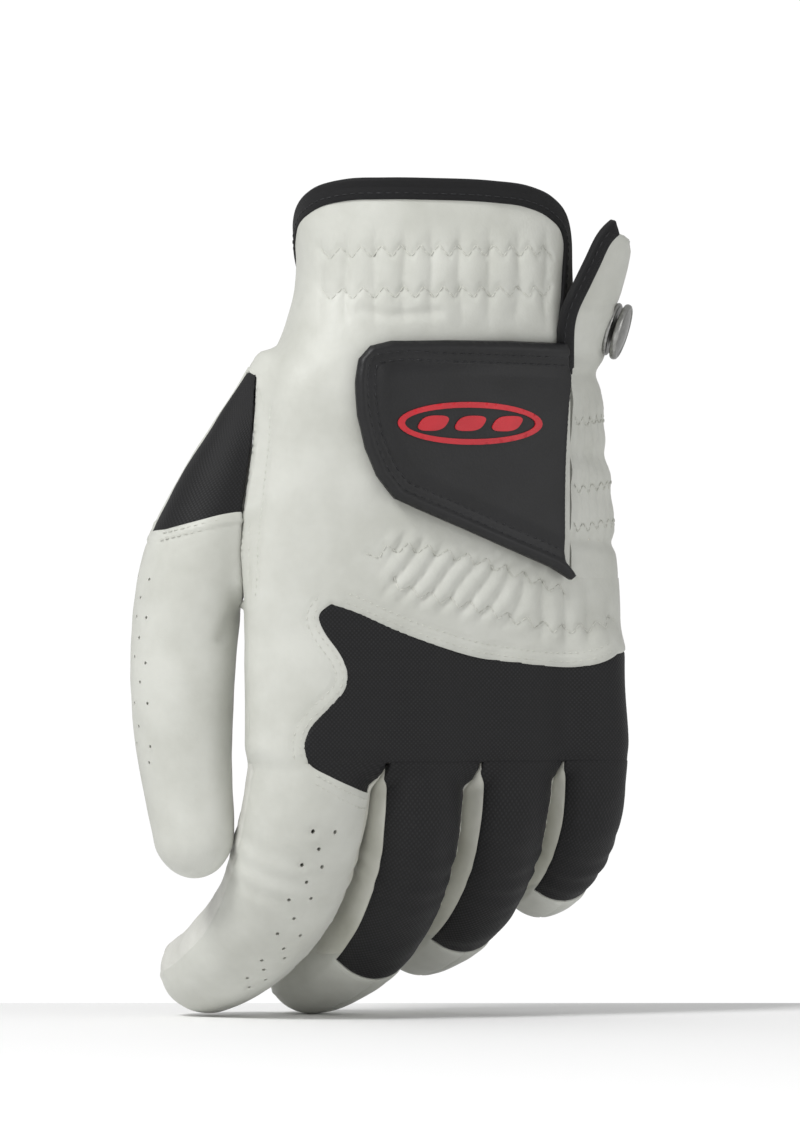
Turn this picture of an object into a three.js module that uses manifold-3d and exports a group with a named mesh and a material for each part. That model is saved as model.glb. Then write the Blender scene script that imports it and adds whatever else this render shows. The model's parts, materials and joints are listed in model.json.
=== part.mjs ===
// A golf glove for the left hand: the back of the hand faces -Y, the cuff is up (+Z), and the
// fingers hang down, half curled towards the palm. Millimetres. The origin is the middle of the
// cuff's opening. The glove is a leather form cut into panels, with five jointed finger ends, a
// closure tab on a hinge line and a ball marker on a snap.

import * as THREE from 'three';
import { mergeVertices } from 'three/addons/utils/BufferGeometryUtils.js';
import Module from 'manifold-3d';

const wasm = await Module();
wasm.setup();

// Driving sizes ----------------------------------------------------------------------------

const GAP = 0.3; // clear space between neighbouring pieces
const LEATHER = 1.0; // thickness of the leather and mesh panels
const PALM_TURN = THREE.MathUtils.degToRad(28); // the palm's turn about +Z
const CUFF_TURN = THREE.MathUtils.degToRad(15); // the cuff's turn about +Z
const SQUARENESS = 2.3; // superellipse power of the hand's sections
const AROUND = 40; // points round a section of the hand
const LIMB_AROUND = 20; // points round a section of a finger
const OPEN_END = 5; // how far a hollow runs past the ends of its sleeve
const FAR = 90; // half length of the cutting prisms, past every panel

const KNUCKLE_Z = -130; // height of the knuckle hinge, which crosses the whole hand
const KNUCKLE_REACH = THREE.MathUtils.degToRad(22); // farthest turn at the knuckles
const FINGER_REACH = THREE.MathUtils.degToRad(32); // farthest turn at the finger and thumb hinges
const NESTING = LEATHER + 0.6; // how much smaller a nested joint end is than the sleeve over it
const BEND_ROOM = 3; // clear length between a joint's sleeve and the panel below it
const SHOULDER = 0.5; // length of the narrowest part below a nested end
const TIP_OPENING = 0.35; // how far short of its point a fingertip's strips end
const KNUCKLE_HALF = 46; // half the width of the row of knuckles
const BODY_STEPS = 6; // rows along a finger's end
const TIP_STEPS = [ 0.45, 0.75, 0.93, 1 ]; // rows round a fingertip, as parts of its length
const NEST_ABOVE = 4; // how far a nested end reaches above its hinge

const RIM_TOP = 2.2; // height of the cuff's edge on the back of the hand
const RIM_PALM = -38; // height of the cuff's edge on the palm
const BINDING = 5; // width of the cuff binding
const SLIT_BINDING = 4; // height of the binding on the side panel's edge
const BINDING_THICK = 0.6; // how far the binding stands off the leather, inside and out
const SLIT_X = 34.8; // the slit between the back panel and the side panel
const SLIT_END = -97; // lower end of the slit
const FLAP_TIP = new THREE.Vector2(51.5, -13.5); // top corner of the side panel

// The hand's sections: silhouette seen from the front, half depth, and turn about +Z.
const HAND = [
	{ z: 10, left: -35, right: 35, deep: 25, turn: CUFF_TURN },
	{ z: -8, left: -34.5, right: 35, deep: 25, turn: CUFF_TURN },
	{ z: -22, left: -33.8, right: 36, deep: 23, turn: CUFF_TURN },
	{ z: -35, left: -37, right: 40, deep: 21, turn: ( CUFF_TURN + PALM_TURN ) / 2 },
	{ z: -46, left: -41.5, right: 42.5, deep: 19, turn: PALM_TURN },
	{ z: -65, left: -43, right: 43.8, deep: 17, turn: PALM_TURN },
	{ z: -85, left: -46, right: 45.5, deep: 16, turn: PALM_TURN },
	{ z: -105, left: -46.5, right: 47.2, deep: 15.5, turn: PALM_TURN },
	{ z: KNUCKLE_Z, left: -45.5, right: 46.8, deep: 15, turn: PALM_TURN },
];

// The side panel spreads outwards above the wrist; below it follows the hand.
const SPREAD = [
	{ z: 10, left: -34, right: 57, deep: 25, turn: CUFF_TURN },
	{ z: -13, left: -34, right: 50.5, deep: 24, turn: CUFF_TURN },
	{ z: -25, left: -35, right: 47.6, deep: 22.5, turn: CUFF_TURN },
	{ z: -35, left: -37, right: 44.8, deep: 21, turn: ( CUFF_TURN + PALM_TURN ) / 2 },
	...HAND.slice( 4 ),
];

// Fingers: route of the middle line as [across, inward, z], half width and half depth at the
// root, at the hinge and before the rounded end, and the hinge's distance along the route.
const FINGERS = [
	{
		name: 'index', across: [ - 50, - 18.3 ], hinge: 40, wide: [ 14.8, 14.6, 11.5 ], deep: [ 13.5, 12.4, 9.5 ],
		walls: [ 'ulnar' ], mesh: false,
		route: [ [ - 32.5, 0, - 127.5 ], [ - 33.6, 2.5, - 147 ], [ - 33.8, 9, - 165 ], [ - 34, 20, - 178.5 ],
			[ - 36, 34.5, - 189.5 ], [ - 39, 47.5, - 196 ], [ - 42.5, 60, - 199.5 ] ],
	},
	{
		name: 'middle', across: [ - 18.3, 7.6 ], hinge: 38, wide: [ 12.2, 11.6, 9.8 ], deep: [ 13, 12, 9.5 ],
		walls: [ 'radial', 'ulnar' ], mesh: true,
		route: [ [ - 6.5, - 1, - 130 ], [ - 5.2, - 0.3, - 150 ], [ - 4.2, 5.4, - 166 ], [ - 3.8, 15.5, - 178.5 ],
			[ - 4.4, 29.5, - 189 ], [ - 6.7, 44.5, - 195.5 ], [ - 11, 60, - 199 ] ],
	},
	{
		name: 'ring', across: [ 7.6, 31.95 ], hinge: 36, wide: [ 11.7, 11, 9.2 ], deep: [ 12.6, 11.4, 9 ],
		walls: [ 'radial', 'ulnar' ], mesh: true,
		route: [ [ 18.8, - 1.5, - 130 ], [ 20, - 0.5, - 149 ], [ 21, 5.6, - 163 ], [ 21.6, 15.6, - 174 ],
			[ 21.8, 29, - 182.5 ], [ 21, 41, - 187.5 ], [ 19.5, 54, - 190.5 ] ],
	},
	{
		name: 'little', across: [ 31.95, 58 ], hinge: 31, wide: [ 10.7, 10.2, 8.4 ], deep: [ 11.6, 10.4, 8.2 ],
		walls: [ 'radial' ], mesh: true,
		route: [ [ 40.8, - 1.5, - 128 ], [ 42.8, - 1, - 145 ], [ 44.2, 3.8, - 157.5 ], [ 44.8, 11.5, - 166.5 ],
			[ 44.8, 21, - 172.5 ], [ 44, 34, - 176 ] ],
	},
];

const THUMB = {
	name: 'thumb', hinge: 93, wide: [ 4, 11.6, 8.8 ], deep: [ 4, 11.4, 8.6 ],
	route: [ [ - 43, 6.5, - 47 ], [ - 49.4, 9.5, - 64 ], [ - 54.6, 12.5, - 80 ], [ - 58.8, 15.4, - 95 ],
		[ - 60.6, 17, - 110 ], [ - 60.9, 17.4, - 130 ], [ - 60.3, 17.2, - 145 ], [ - 58.9, 16, - 158 ],
		[ - 58.2, 15, - 170.5 ] ],
};
const THUMB_SWELL = [ [ 0, 4 ], [ 18, 8 ], [ 35, 11.2 ], [ 51, 13 ], [ 70, 12.9 ], [ 93, 11.6 ] ];

// The tab that closes the slit, seen from the front.
const TAB = {
	hingeX: 34, top: - 38.5, left: - 18.5, corner: 7,
	shoulderZ: - 60, toeX: - 8.5, toeZ: - 77.5, tailZ: - 93,
};
const TAB_LAYERS = { loop: 0.3, hook: 1.6, lining: 2.9, face: 4.0, emblem: 5.3 }; // height off the leather
const PATCH_THICK = 1.0;
const LINING_THICK = 0.8;
const EMBLEM_THICK = 0.5;
const ELASTIC_THICK = 0.8;

const SNAP = { x: 45.1, y: 10.5, z: - 34.5, aim: new THREE.Vector3( 0.93, - 0.17, - 0.29 ).normalize() };
const STUD_R = 2.2;
const SNAP_R = 3.4;
const MARKER_R = 7.2;
const MARKER_THICK = 2.2;

const COLOURS = {
	leather: 0xdcdcd6, wall: 0xc4c4bc, mesh: 0x232325, tab: 0x2b2b2d, binding: 0x242426,
	elastic: 0xe6e4dc, hook: 0x1c1c1e, loop: 0xd0cfc8, metal: 0x9a9a98, emblem: 0xb5202e,
};

// Directions in the glove: across the palm to the little finger, and from the back to the palm.
const across = new THREE.Vector3( Math.cos( PALM_TURN ), Math.sin( PALM_TURN ), 0 );
const inward = new THREE.Vector3( - Math.sin( PALM_TURN ), Math.cos( PALM_TURN ), 0 );
const up = new THREE.Vector3( 0, 0, 1 );
const place = ( s, n, z ) => new THREE.Vector3( 0, 0, z )
	.addScaledVector( across, s )
	.addScaledVector( inward, n );

// Solids and booleans ----------------------------------------------------------------------

function solidOf( geometry ) {

	const bare = geometry.index ? geometry.clone() : geometry;
	bare.deleteAttribute( 'normal' );
	bare.deleteAttribute( 'uv' );
	const merged = mergeVertices( bare, 1e-4 );
	return new wasm.Manifold( new wasm.Mesh( {
		numProp: 3,
		vertProperties: new Float32Array( merged.attributes.position.array ),
		triVerts: new Uint32Array( merged.index.array ),
	} ) );

}

function geometryOf( solid ) {

	const mesh = solid.getMesh();
	const geometry = new THREE.BufferGeometry();
	geometry.setAttribute( 'position', new THREE.BufferAttribute( mesh.vertProperties, 3 ) );
	geometry.setIndex( new THREE.BufferAttribute( mesh.triVerts, 1 ) );
	geometry.computeVertexNormals();
	return geometry;

}

/** The largest of the separate bodies that a cut leaves; slivers beside it are offcuts. */
const mainBody = ( solid ) => solid.decompose()
	.reduce( ( best, body ) => ( body.volume() > best.volume() ? body : best ) );

const joined = ( solids ) => solids.reduce( ( all, solid ) => all.add( solid ) );

/** A closed solid through a row of rings with equally many points, with a fan over each end. */
function loft( rings ) {

	const count = rings[ 0 ].length;
	const points = rings.flat();
	const triangles = [];
	for ( let i = 0; i + 1 < rings.length; i ++ ) {

		for ( let j = 0; j < count; j ++ ) {

			const a = i * count + j;
			const b = i * count + ( j + 1 ) % count;
			triangles.push( a, b, b + count, a, b + count, a + count );

		}

	}

	const ends = [ [ rings[ 0 ], 0, false ], [ rings.at( - 1 ), points.length - count, true ] ];
	for ( const [ ring, first, forward ] of ends ) {

		const middle = ring.reduce( ( sum, p ) => sum.add( p ), new THREE.Vector3() ).divideScalar( count );
		const hub = points.push( middle ) - 1;
		for ( let j = 0; j < count; j ++ ) {

			const a = first + j;
			const b = first + ( j + 1 ) % count;
			triangles.push( ...( forward ? [ a, b, hub ] : [ b, a, hub ] ) );

		}

	}

	const geometry = new THREE.BufferGeometry().setFromPoints( points );
	geometry.setIndex( triangles );
	return solidOf( geometry );

}

const power = ( x, p ) => Math.sign( x ) * Math.abs( x ) ** p;

/** One section of the hand, grown by `offset`, as points that run from the little-finger side
 * over the back of the hand to the thumb side and back along the palm. */
function handRing( { z, left, right, deep, turn }, offset ) {

	const q = SQUARENESS / ( SQUARENESS - 1 );
	const half = ( right - left ) / 2;
	const wide = ( half ** q - ( deep * Math.sin( turn ) ) ** q ) ** ( 1 / q ) / Math.cos( turn );
	const out = new THREE.Vector3( Math.cos( turn ), Math.sin( turn ), 0 );
	const back = new THREE.Vector3( Math.sin( turn ), - Math.cos( turn ), 0 );
	const points = [];
	for ( let j = 0; j < AROUND; j ++ ) {

		const angle = j / AROUND * 2 * Math.PI;
		const point = new THREE.Vector3( ( left + right ) / 2, 0, z );
		point.addScaledVector( out, ( wide + offset ) * power( Math.cos( angle ), 2 / SQUARENESS ) );
		point.addScaledVector( back, ( deep + offset ) * power( Math.sin( angle ), 2 / SQUARENESS ) );
		points.push( point );

	}

	return points;

}

const handForm = ( offset, stations = HAND, longer = 0 ) => loft( stations.map( ( station, i ) => {

	const end = i === stations.length - 1 ? - longer : 0;
	const start = i === 0 ? longer : 0;
	return handRing( { ...station, z: station.z + start + end }, offset );

} ) );

/** A layer that follows the hand between two distances off its leather. */
const handLayer = ( from, to, stations = HAND ) => handForm( to, stations )
	.subtract( handForm( from, stations, OPEN_END ) );

/** A prism along Y with the outline given as [x, z], over the front, the back or both. */
function frontPrism( outline, side = 'both' ) {

	const shape = outline instanceof THREE.Shape ? outline
		: new THREE.Shape( outline.map( ( [ x, z ] ) => new THREE.Vector2( x, z ) ) );
	const geometry = new THREE.ExtrudeGeometry( shape, { depth: 2 * FAR, bevelEnabled: false, curveSegments: 6 } );
	const right = new THREE.Vector3( 1, 0, 0 );
	const front = new THREE.Vector3( 0, - 1, 0 );
	const upright = new THREE.Matrix4().makeBasis( right, up, front );
	geometry.applyMatrix4( upright.setPosition( 0, FAR, 0 ) );
	const prism = solidOf( geometry );
	return side === 'both' ? prism : prism.intersect( side === 'front' ? FRONT : BACK );

}

/** A prism along the knuckle line with the outline given as [inward, z]. */
function sidePrism( outline, from, to ) {

	const shape = new THREE.Shape( outline.map( ( [ n, z ] ) => new THREE.Vector2( n, z ) ) );
	const geometry = new THREE.ExtrudeGeometry( shape, { depth: to - from, bevelEnabled: false } );
	const sideways = new THREE.Matrix4().makeBasis( inward, up, across );
	geometry.applyMatrix4( sideways.setPosition( across.clone().multiplyScalar( from ) ) );
	return solidOf( geometry );

}

// The middle surface between the back of the hand and the palm runs through the glove's two
// sides, so it turns with them: [z, degrees about +Z].
const MIDDLE = [ [ 30, 7 ], [ - 22, 7 ], [ - 35, 14 ], [ - 46, 22 ], [ - 65, 24 ], [ - 150, 26 ] ];
const SPLIT = GAP / 2;

/** Everything on the back's side of the middle surface, moved `shift` towards the palm. */
function backHalf( shift ) {

	return loft( MIDDLE.map( ( [ z, turn ] ) => {

		const along = new THREE.Vector3( FAR, 0, 0 ).applyAxisAngle( up, THREE.MathUtils.degToRad( turn ) );
		const moved = new THREE.Vector3( 0, shift, z );
		const edge = [ along.clone().negate(), along ].map( ( p ) => p.clone().add( moved ) );
		const far = edge.toReversed().map( ( p ) => p.clone().setY( p.y - 2 * FAR ) );
		return [ ...edge, ...far ];

	} ) );

}

const everything = solidOf( new THREE.BoxGeometry( 4 * FAR, 4 * FAR, 4 * FAR ) );
const FRONT = backHalf( - SPLIT );
const BACK = everything.subtract( backHalf( SPLIT ) );
const FRONT_TO_SPLIT = backHalf( 0 );
const BACK_TO_SPLIT = everything.subtract( FRONT_TO_SPLIT );

// Fingers ----------------------------------------------------------------------------------

/** The route, sizes and hinge of one finger, with x the distance along the route from its hinge. */
function limbOf( finger ) {

	const route = new THREE.CatmullRomCurve3( finger.route.map( ( p ) => place( ...p ) ) );
	route.arcLengthDivisions = 400;
	const length = route.getLength();
	const frame = ( x ) => {

		const u = THREE.MathUtils.clamp( ( x + finger.hinge ) / length, 0, 1 );
		const along = route.getTangentAt( u );
		const side = across.clone().addScaledVector( along, - across.dot( along ) ).normalize();
		return { centre: route.getPointAt( u ), side, back: new THREE.Vector3().crossVectors( along, side ) };

	};

	const between = ( [ root, hinge, end ], x ) => x < 0
		? THREE.MathUtils.lerp( root, hinge, 1 + x / finger.hinge )
		: THREE.MathUtils.lerp( hinge, end, x / ( length - finger.hinge ) );
	return { frame, between, end: length - finger.hinge, finger };

}

const limbAngles = Array.from( { length: LIMB_AROUND }, ( _, j ) => j / LIMB_AROUND * 2 * Math.PI );
const ringOf = ( { centre, side, back }, wide, deep ) => limbAngles.map( ( angle ) => {

	const point = centre.clone().addScaledVector( side, wide * Math.cos( angle ) );
	return point.addScaledVector( back, deep * Math.sin( angle ) );

} );

/** The solid of a finger from its root to its hinge; `longer` carries it on past the hinge. */
function rootForm( limb, from, offset, longer = 0 ) {

	const { finger, between, frame } = limb;
	const rings = [];
	const steps = 6;
	for ( let i = 0; i <= steps; i ++ ) {

		const x = THREE.MathUtils.lerp( from - finger.hinge, 0, i / steps );
		rings.push( ringOf( frame( x ), between( finger.wide, x ) + offset, between( finger.deep, x ) + offset ) );

	}

	if ( longer > 0 ) {

		rings.push( ringOf( frame( longer ), finger.wide[ 1 ] + offset, finger.deep[ 1 ] + offset ) );

	}

	return loft( rings );

}

/** Half width and half depth of a finger's end at x: a ball nested in the root, a waist that
 * leaves room to bend, the finger itself, and its rounded tip. */
function endSize( limb, x ) {

	const { finger, between, end } = limb;
	const ball = finger.deep[ 1 ] - NESTING;
	const waist = ball * Math.sin( FINGER_REACH ) + SHOULDER;
	const full = finger.deep[ 1 ] * Math.tan( FINGER_REACH ) + BEND_ROOM;
	const nested = Math.sqrt( 1 - ( Math.min( x, waist ) / ball ) ** 2 );
	const narrow = [ ( finger.wide[ 1 ] - NESTING ) * nested, ball * nested ];
	const round = finger.wide[ 2 ];
	const taper = Math.sqrt( Math.max( 0, 1 - Math.max( 0, ( x - end + round ) / round ) ** 2 ) );
	const whole = [ between( finger.wide, x ) * taper, between( finger.deep, x ) * taper ];
	const grown = THREE.MathUtils.clamp( ( x - waist ) / ( full - waist ), 0, 1 );
	return narrow.map( ( size, i ) => THREE.MathUtils.lerp( size, whole[ i ], grown ) );

}

/** A strip of a finger's end between two angles, `LEATHER` thick: a closed sheet whose inner
 * face is the outer one moved in along its normals. Angle 0 is the little-finger side and
 * 90 degrees is the back. */
function endStrip( limb, fromAngle, toAngle ) {

	const ball = limb.finger.deep[ 1 ] - NESTING;
	const waist = ball * Math.sin( FINGER_REACH ) + SHOULDER;
	const body = limb.finger.deep[ 1 ] * Math.tan( FINGER_REACH ) + BEND_ROOM;
	const tip = limb.end - limb.finger.wide[ 2 ];
	const last = limb.end - TIP_OPENING;
	const stations = [ - NEST_ABOVE, 0, waist, body ];
	const { lerp } = THREE.MathUtils;
	for ( let i = 1; i <= BODY_STEPS; i ++ ) stations.push( lerp( body, tip, i / BODY_STEPS ) );
	for ( const part of TIP_STEPS ) stations.push( lerp( tip, last, part ) );
	const surface = ( angle, x ) => {

		const { centre, side, back } = limb.frame( x );
		const [ wide, deep ] = endSize( limb, x );
		centre.addScaledVector( side, wide * Math.cos( angle ) );
		return centre.addScaledVector( back, deep * Math.sin( angle ) );

	};

	const columns = Math.max( 3, Math.ceil( ( toAngle - fromAngle ) / THREE.MathUtils.degToRad( 20 ) ) );
	const outer = [];
	const lining = [];
	stations.forEach( ( x ) => {

		const size = Math.max( ...endSize( limb, x ) );
		const margin = Math.min( 0.3, GAP / 2 / size );
		for ( let j = 0; j <= columns; j ++ ) {

			const angle = THREE.MathUtils.lerp( fromAngle + margin, toAngle - margin, j / columns );
			const point = surface( angle, x );
			const { centre } = limb.frame( x );
			const around = surface( angle + 0.01, x ).sub( point );
			const along = surface( angle, Math.min( x + 0.05, limb.end - 0.01 ) ).sub( surface( angle, x - 0.05 ) );
			const normal = around.cross( along ).normalize();
			const room = Math.min( LEATHER, 0.6 * point.distanceTo( centre ) );
			outer.push( point );
			lining.push( point.clone().addScaledVector( normal, - room ) );

		}

	} );

	return sheet( outer, lining, columns + 1, stations.length );

}

/** A closed body between two grids of points with equally many columns and rows. */
function sheet( outer, lining, columns, rows ) {

	const points = [ ...outer, ...lining ];
	const under = outer.length;
	const triangles = [];
	const quad = ( a, b, c, d ) => triangles.push( a, b, c, a, c, d );
	for ( let i = 0; i + 1 < rows; i ++ ) {

		for ( let j = 0; j + 1 < columns; j ++ ) {

			const a = i * columns + j;
			quad( a, a + 1, a + columns + 1, a + columns );
			quad( under + a, under + a + columns, under + a + columns + 1, under + a + 1 );

		}

	}

	for ( let j = 0; j + 1 < columns; j ++ ) {

		const low = ( rows - 1 ) * columns + j;
		quad( j + 1, j, under + j, under + j + 1 );
		quad( low, low + 1, under + low + 1, under + low );

	}

	for ( let i = 0; i + 1 < rows; i ++ ) {

		const first = i * columns;
		const last = first + columns - 1;
		quad( first, first + columns, under + first + columns, under + first );
		quad( last + columns, last, under + last, under + last + columns );

	}

	const geometry = new THREE.BufferGeometry().setFromPoints( points );
	geometry.setIndex( triangles );
	geometry.computeVertexNormals();
	return geometry;

}

// The glove --------------------------------------------------------------------------------

const glove = new THREE.Group();

function add( name, shape, colour, roughness = 0.7, metalness = 0 ) {

	const geometry = shape instanceof THREE.BufferGeometry ? shape : geometryOf( mainBody( shape ) );
	const finish = new THREE.MeshStandardMaterial( { color: COLOURS[ colour ], roughness, metalness } );
	const mesh = new THREE.Mesh( geometry, finish );
	mesh.name = name;
	glove.add( mesh );

}

const limbs = FINGERS.map( limbOf );
const thumb = limbOf( THUMB );

/** The thumb's root swells out of the hand; its sizes follow THUMB_SWELL. */
function thumbRoot( offset, longer = 0 ) {

	const rings = THUMB_SWELL.map( ( [ distance, size ] ) => {

		return ringOf( thumb.frame( distance - THUMB.hinge ), size + offset, size + offset );

	} );
	if ( longer > 0 ) {

		rings.push( ringOf( thumb.frame( longer ), THUMB.wide[ 1 ] + offset, THUMB.deep[ 1 ] + offset ) );

	}

	return loft( rings );

}

const sleeve = handForm( 0 ).add( thumbRoot( 0 ) );
const hollow = handForm( - LEATHER, HAND, 5 ).add( thumbRoot( - LEATHER, 5 ) );
const leather = sleeve.subtract( hollow );
const spreadLeather = handLayer( - LEATHER, 0, SPREAD );

// Outlines seen from the front, as [x, z].
const INSERT_TOP = - 46; // top of the thumb's area
const THUMB_MIDDLE_Y = - 14.5; // the thumb's own middle plane, for its back and front
const SEAM = [ [ - 43.6, - 46 ], [ - 43.6, - 52 ], [ - 44.5, - 64 ], [ - 47, - 80.5 ], [ - 47.6, - 90 ],
	[ - 46.6, - 103 ] ];
const MESH_TOP = [ [ - 24.5, - 103.2 ], [ - 15.5, - 107 ], [ 2.2, - 114 ], [ 19.2, - 118 ], [ 38, - 119.2 ],
	[ 47.5, - 115.5 ], [ 70, - 112 ] ];
const MESH_SIDE = [ [ - 24.5, - 136 ], [ - 24.5, - 128.5 ], [ - 20.5, - 120 ], [ - 26.8, - 109.5 ] ];
const INSERT = [ [ - 44.6, - 46.8 ], [ - 49.2, - 52 ], [ - 54, - 59.5 ], [ - 59, - 68.2 ], [ - 63.8, - 76.2 ],
	[ - 67, - 84.8 ], [ - 65, - 84.8 ], [ - 57, - 82.5 ], [ - 47.3, - 80.6 ], [ - 44.8, - 64 ], [ - 43.9, - 52 ] ];

/** The cuff's edge on the back: straight across, then round a corner and down the slit. */
function cuffShape( inset ) {

	const shape = new THREE.Shape();
	const right = SLIT_X - GAP - inset * 0.8;
	const top = RIM_TOP - inset;
	const corner = 8 - inset * 0.6;
	shape.moveTo( - 70, RIM_PALM - 90 );
	shape.lineTo( right, RIM_PALM - 90 );
	shape.lineTo( right, top - corner );
	shape.quadraticCurveTo( right, top, right - corner, top );
	shape.lineTo( - 27, top );
	shape.quadraticCurveTo( - 34, top, - 35, top - 9 );
	shape.lineTo( - 70, top - 9 );
	return shape;

}

/** The cuff's edge on the palm: it falls from the thumb side and runs low across the palm. */
function palmShape( inset ) {

	const shape = new THREE.Shape();
	const top = RIM_TOP - inset - 9;
	shape.moveTo( - 70, top );
	shape.lineTo( - 34, top );
	shape.quadraticCurveTo( - 28 - inset * 0.7, RIM_PALM - inset, - 6, RIM_PALM - inset );
	shape.lineTo( SLIT_X - GAP, RIM_PALM - inset );
	shape.lineTo( SLIT_X - GAP, - 140 );
	shape.lineTo( - 70, - 140 );
	return shape;

}

const CUFF_HIGH = 30; // height of the cutting prisms above the cuff
const FINGERS_LOW = 150; // depth below the cuff of the hand's cutting prisms
const aboveSlitEnd = frontPrism( [ [ - FAR, SLIT_END ], [ FAR, SLIT_END ], [ FAR, CUFF_HIGH ],
	[ - FAR, CUFF_HIGH ] ] );
const belowSlitEnd = frontPrism( [ [ - FAR, - FINGERS_LOW ], [ FAR, - FINGERS_LOW ], [ FAR, SLIT_END - GAP ],
	[ - FAR, SLIT_END - GAP ] ] );
const slitJoin = ( right, side ) => frontPrism( [ [ - FAR, SLIT_END - 1 ], [ right, SLIT_END - 1 ],
	[ right, SLIT_END + 1 ], [ - FAR, SLIT_END + 1 ] ], side );
const seamSide = ( shift ) => frontPrism( [ [ - FAR, INSERT_TOP + shift ],
	[ SEAM[ 0 ][ 0 ] + shift, INSERT_TOP + shift ], ...SEAM.map( ( [ x, z ] ) => [ x + shift, z ] ),
	[ - FAR, SEAM.at( - 1 )[ 1 ] ] ] );
const THUMB_PALM = [ [ - FAR, - 62 ], [ - 43, - 62 ], [ - 41.5, - 80 ], [ - 41.5, - 112 ], [ - 47.3, - 126 ],
	[ - 47.3, - FINGERS_LOW ], [ - FAR, - FINGERS_LOW ] ]; // the thumb's area seen from the palm
const thumbPalm = ( shift ) => frontPrism( THUMB_PALM.map( ( [ x, z ], i ) => [ i > 0 && i < 6 ? x + shift : x,
	i < 2 ? z + shift : z ] ), 'back' );
const thumbArea = ( shift ) => seamSide( shift ).add( thumbPalm( shift ) );
const [ MESH_LEFT, MESH_TIP ] = MESH_TOP[ 0 ];
const meshArea = ( margin ) => frontPrism( [ [ MESH_LEFT - margin, MESH_TIP + margin ],
	...MESH_TOP.map( ( [ x, z ] ) => [ x, z + margin ] ), [ MESH_TOP.at( - 1 )[ 0 ], - FINGERS_LOW ],
	[ MESH_LEFT - margin, - FINGERS_LOW ], ...MESH_SIDE.map( ( [ x, z ] ) => [ x - margin, z ] ) ], 'front' );
const nearSide = new THREE.BoxGeometry( 80, 60, 80 ).translate( - 60, THUMB_MIDDLE_Y - 30, - 70 );
const insertArea = ( margin ) => {

	const shape = new THREE.Shape( INSERT.map( ( [ x, z ] ) => new THREE.Vector2( x, z ) ) );
	const middle = new THREE.Vector2( - 54, - 70 );
	const larger = 1 + margin / 14; // the insert is about 14 mm from its middle to its edges
	const grown = shape.getPoints().map( ( p ) => p.sub( middle ).multiplyScalar( larger ).add( middle ) );
	const near = solidOf( nearSide.clone().translate( 0, margin, 0 ) );
	return frontPrism( grown.map( ( p ) => [ p.x, p.y ] ) ).intersect( near );

};

// Panels of the hand
const backArea = joined( [ frontPrism( cuffShape( BINDING + GAP ), 'front' ).intersect( aboveSlitEnd ),
	belowSlitEnd.intersect( FRONT ), slitJoin( SLIT_X - 5, 'front' ) ] );
const palmArea = joined( [ frontPrism( palmShape( BINDING + GAP ), 'back' ).intersect( aboveSlitEnd ),
	belowSlitEnd.intersect( BACK ), slitJoin( SLIT_X - GAP, 'back' ) ] );
const backLeather = leather.intersect( backArea ).subtract( thumbArea( GAP ) );
add( 'back_panel', backLeather.subtract( meshArea( GAP + 0.05 ) ), 'leather' );
add( 'palm_panel', leather.intersect( palmArea ).subtract( thumbArea( GAP ) ), 'leather' );
add( 'knuckle_mesh', leather.intersect( meshArea( 0 ) ), 'mesh', 0.85 );
add( 'thumb_mesh_insert', leather.intersect( insertArea( 0 ) ), 'mesh', 0.85 );
add( 'thumb_base', leather.intersect( thumbArea( 0 ) ).subtract( insertArea( GAP + 0.1 ) ), 'leather' );

// The side panel, its binding and the cuff binding
const flapOutline = ( drop ) => [ [ SLIT_X + GAP, SLIT_END ], [ FAR, SLIT_END ], [ FAR, FLAP_TIP.y - drop ],
	[ FLAP_TIP.x, FLAP_TIP.y - drop ], [ SLIT_X + GAP, RIM_PALM - drop * 1.5 ] ];
const sidePanelArea = frontPrism( flapOutline( SLIT_BINDING + GAP ) );
add( 'side_panel', spreadLeather.intersect( sidePanelArea ), 'leather' );
const thickSpread = handLayer( - LEATHER - BINDING_THICK, BINDING_THICK, SPREAD );
const slitBindingArea = frontPrism( flapOutline( 0 ) ).subtract( frontPrism( flapOutline( SLIT_BINDING ) ) );
add( 'slit_binding', thickSpread.intersect( slitBindingArea ), 'binding', 0.6 );
const thickCuff = handLayer( - LEATHER - BINDING_THICK, BINDING_THICK );
const rimOf = ( shape ) => frontPrism( shape( 0 ) ).subtract( frontPrism( shape( BINDING ) ) );
const above = ( z ) => frontPrism( [ [ - FAR, z ], [ FAR, z ], [ FAR, CUFF_HIGH ], [ - FAR, CUFF_HIGH ] ] );
const cuffBack = rimOf( cuffShape ).intersect( FRONT_TO_SPLIT ).intersect( above( RIM_PALM ) );
const cuffPalm = rimOf( palmShape ).intersect( BACK_TO_SPLIT ).intersect( above( RIM_PALM - 6 ) );
add( 'cuff_binding', thickCuff.intersect( cuffBack.add( cuffPalm ) ), 'binding', 0.6 );

// Elastic sewn inside the back of the wrist, under the tab and in the side panel
const elasticOf = ( outline, stations = HAND, side = 'front' ) => {

	const layer = handLayer( - LEATHER - GAP - ELASTIC_THICK, - LEATHER - GAP, stations );
	return layer.intersect( frontPrism( outline, side ) );

};

const UNDER_TAB = [ [ - 13, - 89 ], [ 0, - 89 ], [ 24, - 98 ], [ 40, - 101 ], [ 42, - 113 ], [ 20, - 111 ],
	[ - 11, - 101 ] ];
const square = ( left, top, right, bottom ) => [ [ left, top ], [ right, top ], [ right, bottom ],
	[ left, bottom ] ];
add( 'wrist_elastic', elasticOf( square( - 27, - 14, 29, - 29 ) ), 'elastic', 0.9 );
add( 'back_elastic', elasticOf( UNDER_TAB ), 'elastic', 0.9 );
add( 'side_elastic', elasticOf( square( 37.5, - 46, 60, - 88 ), SPREAD, 'both' ), 'elastic', 0.9 );

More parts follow.
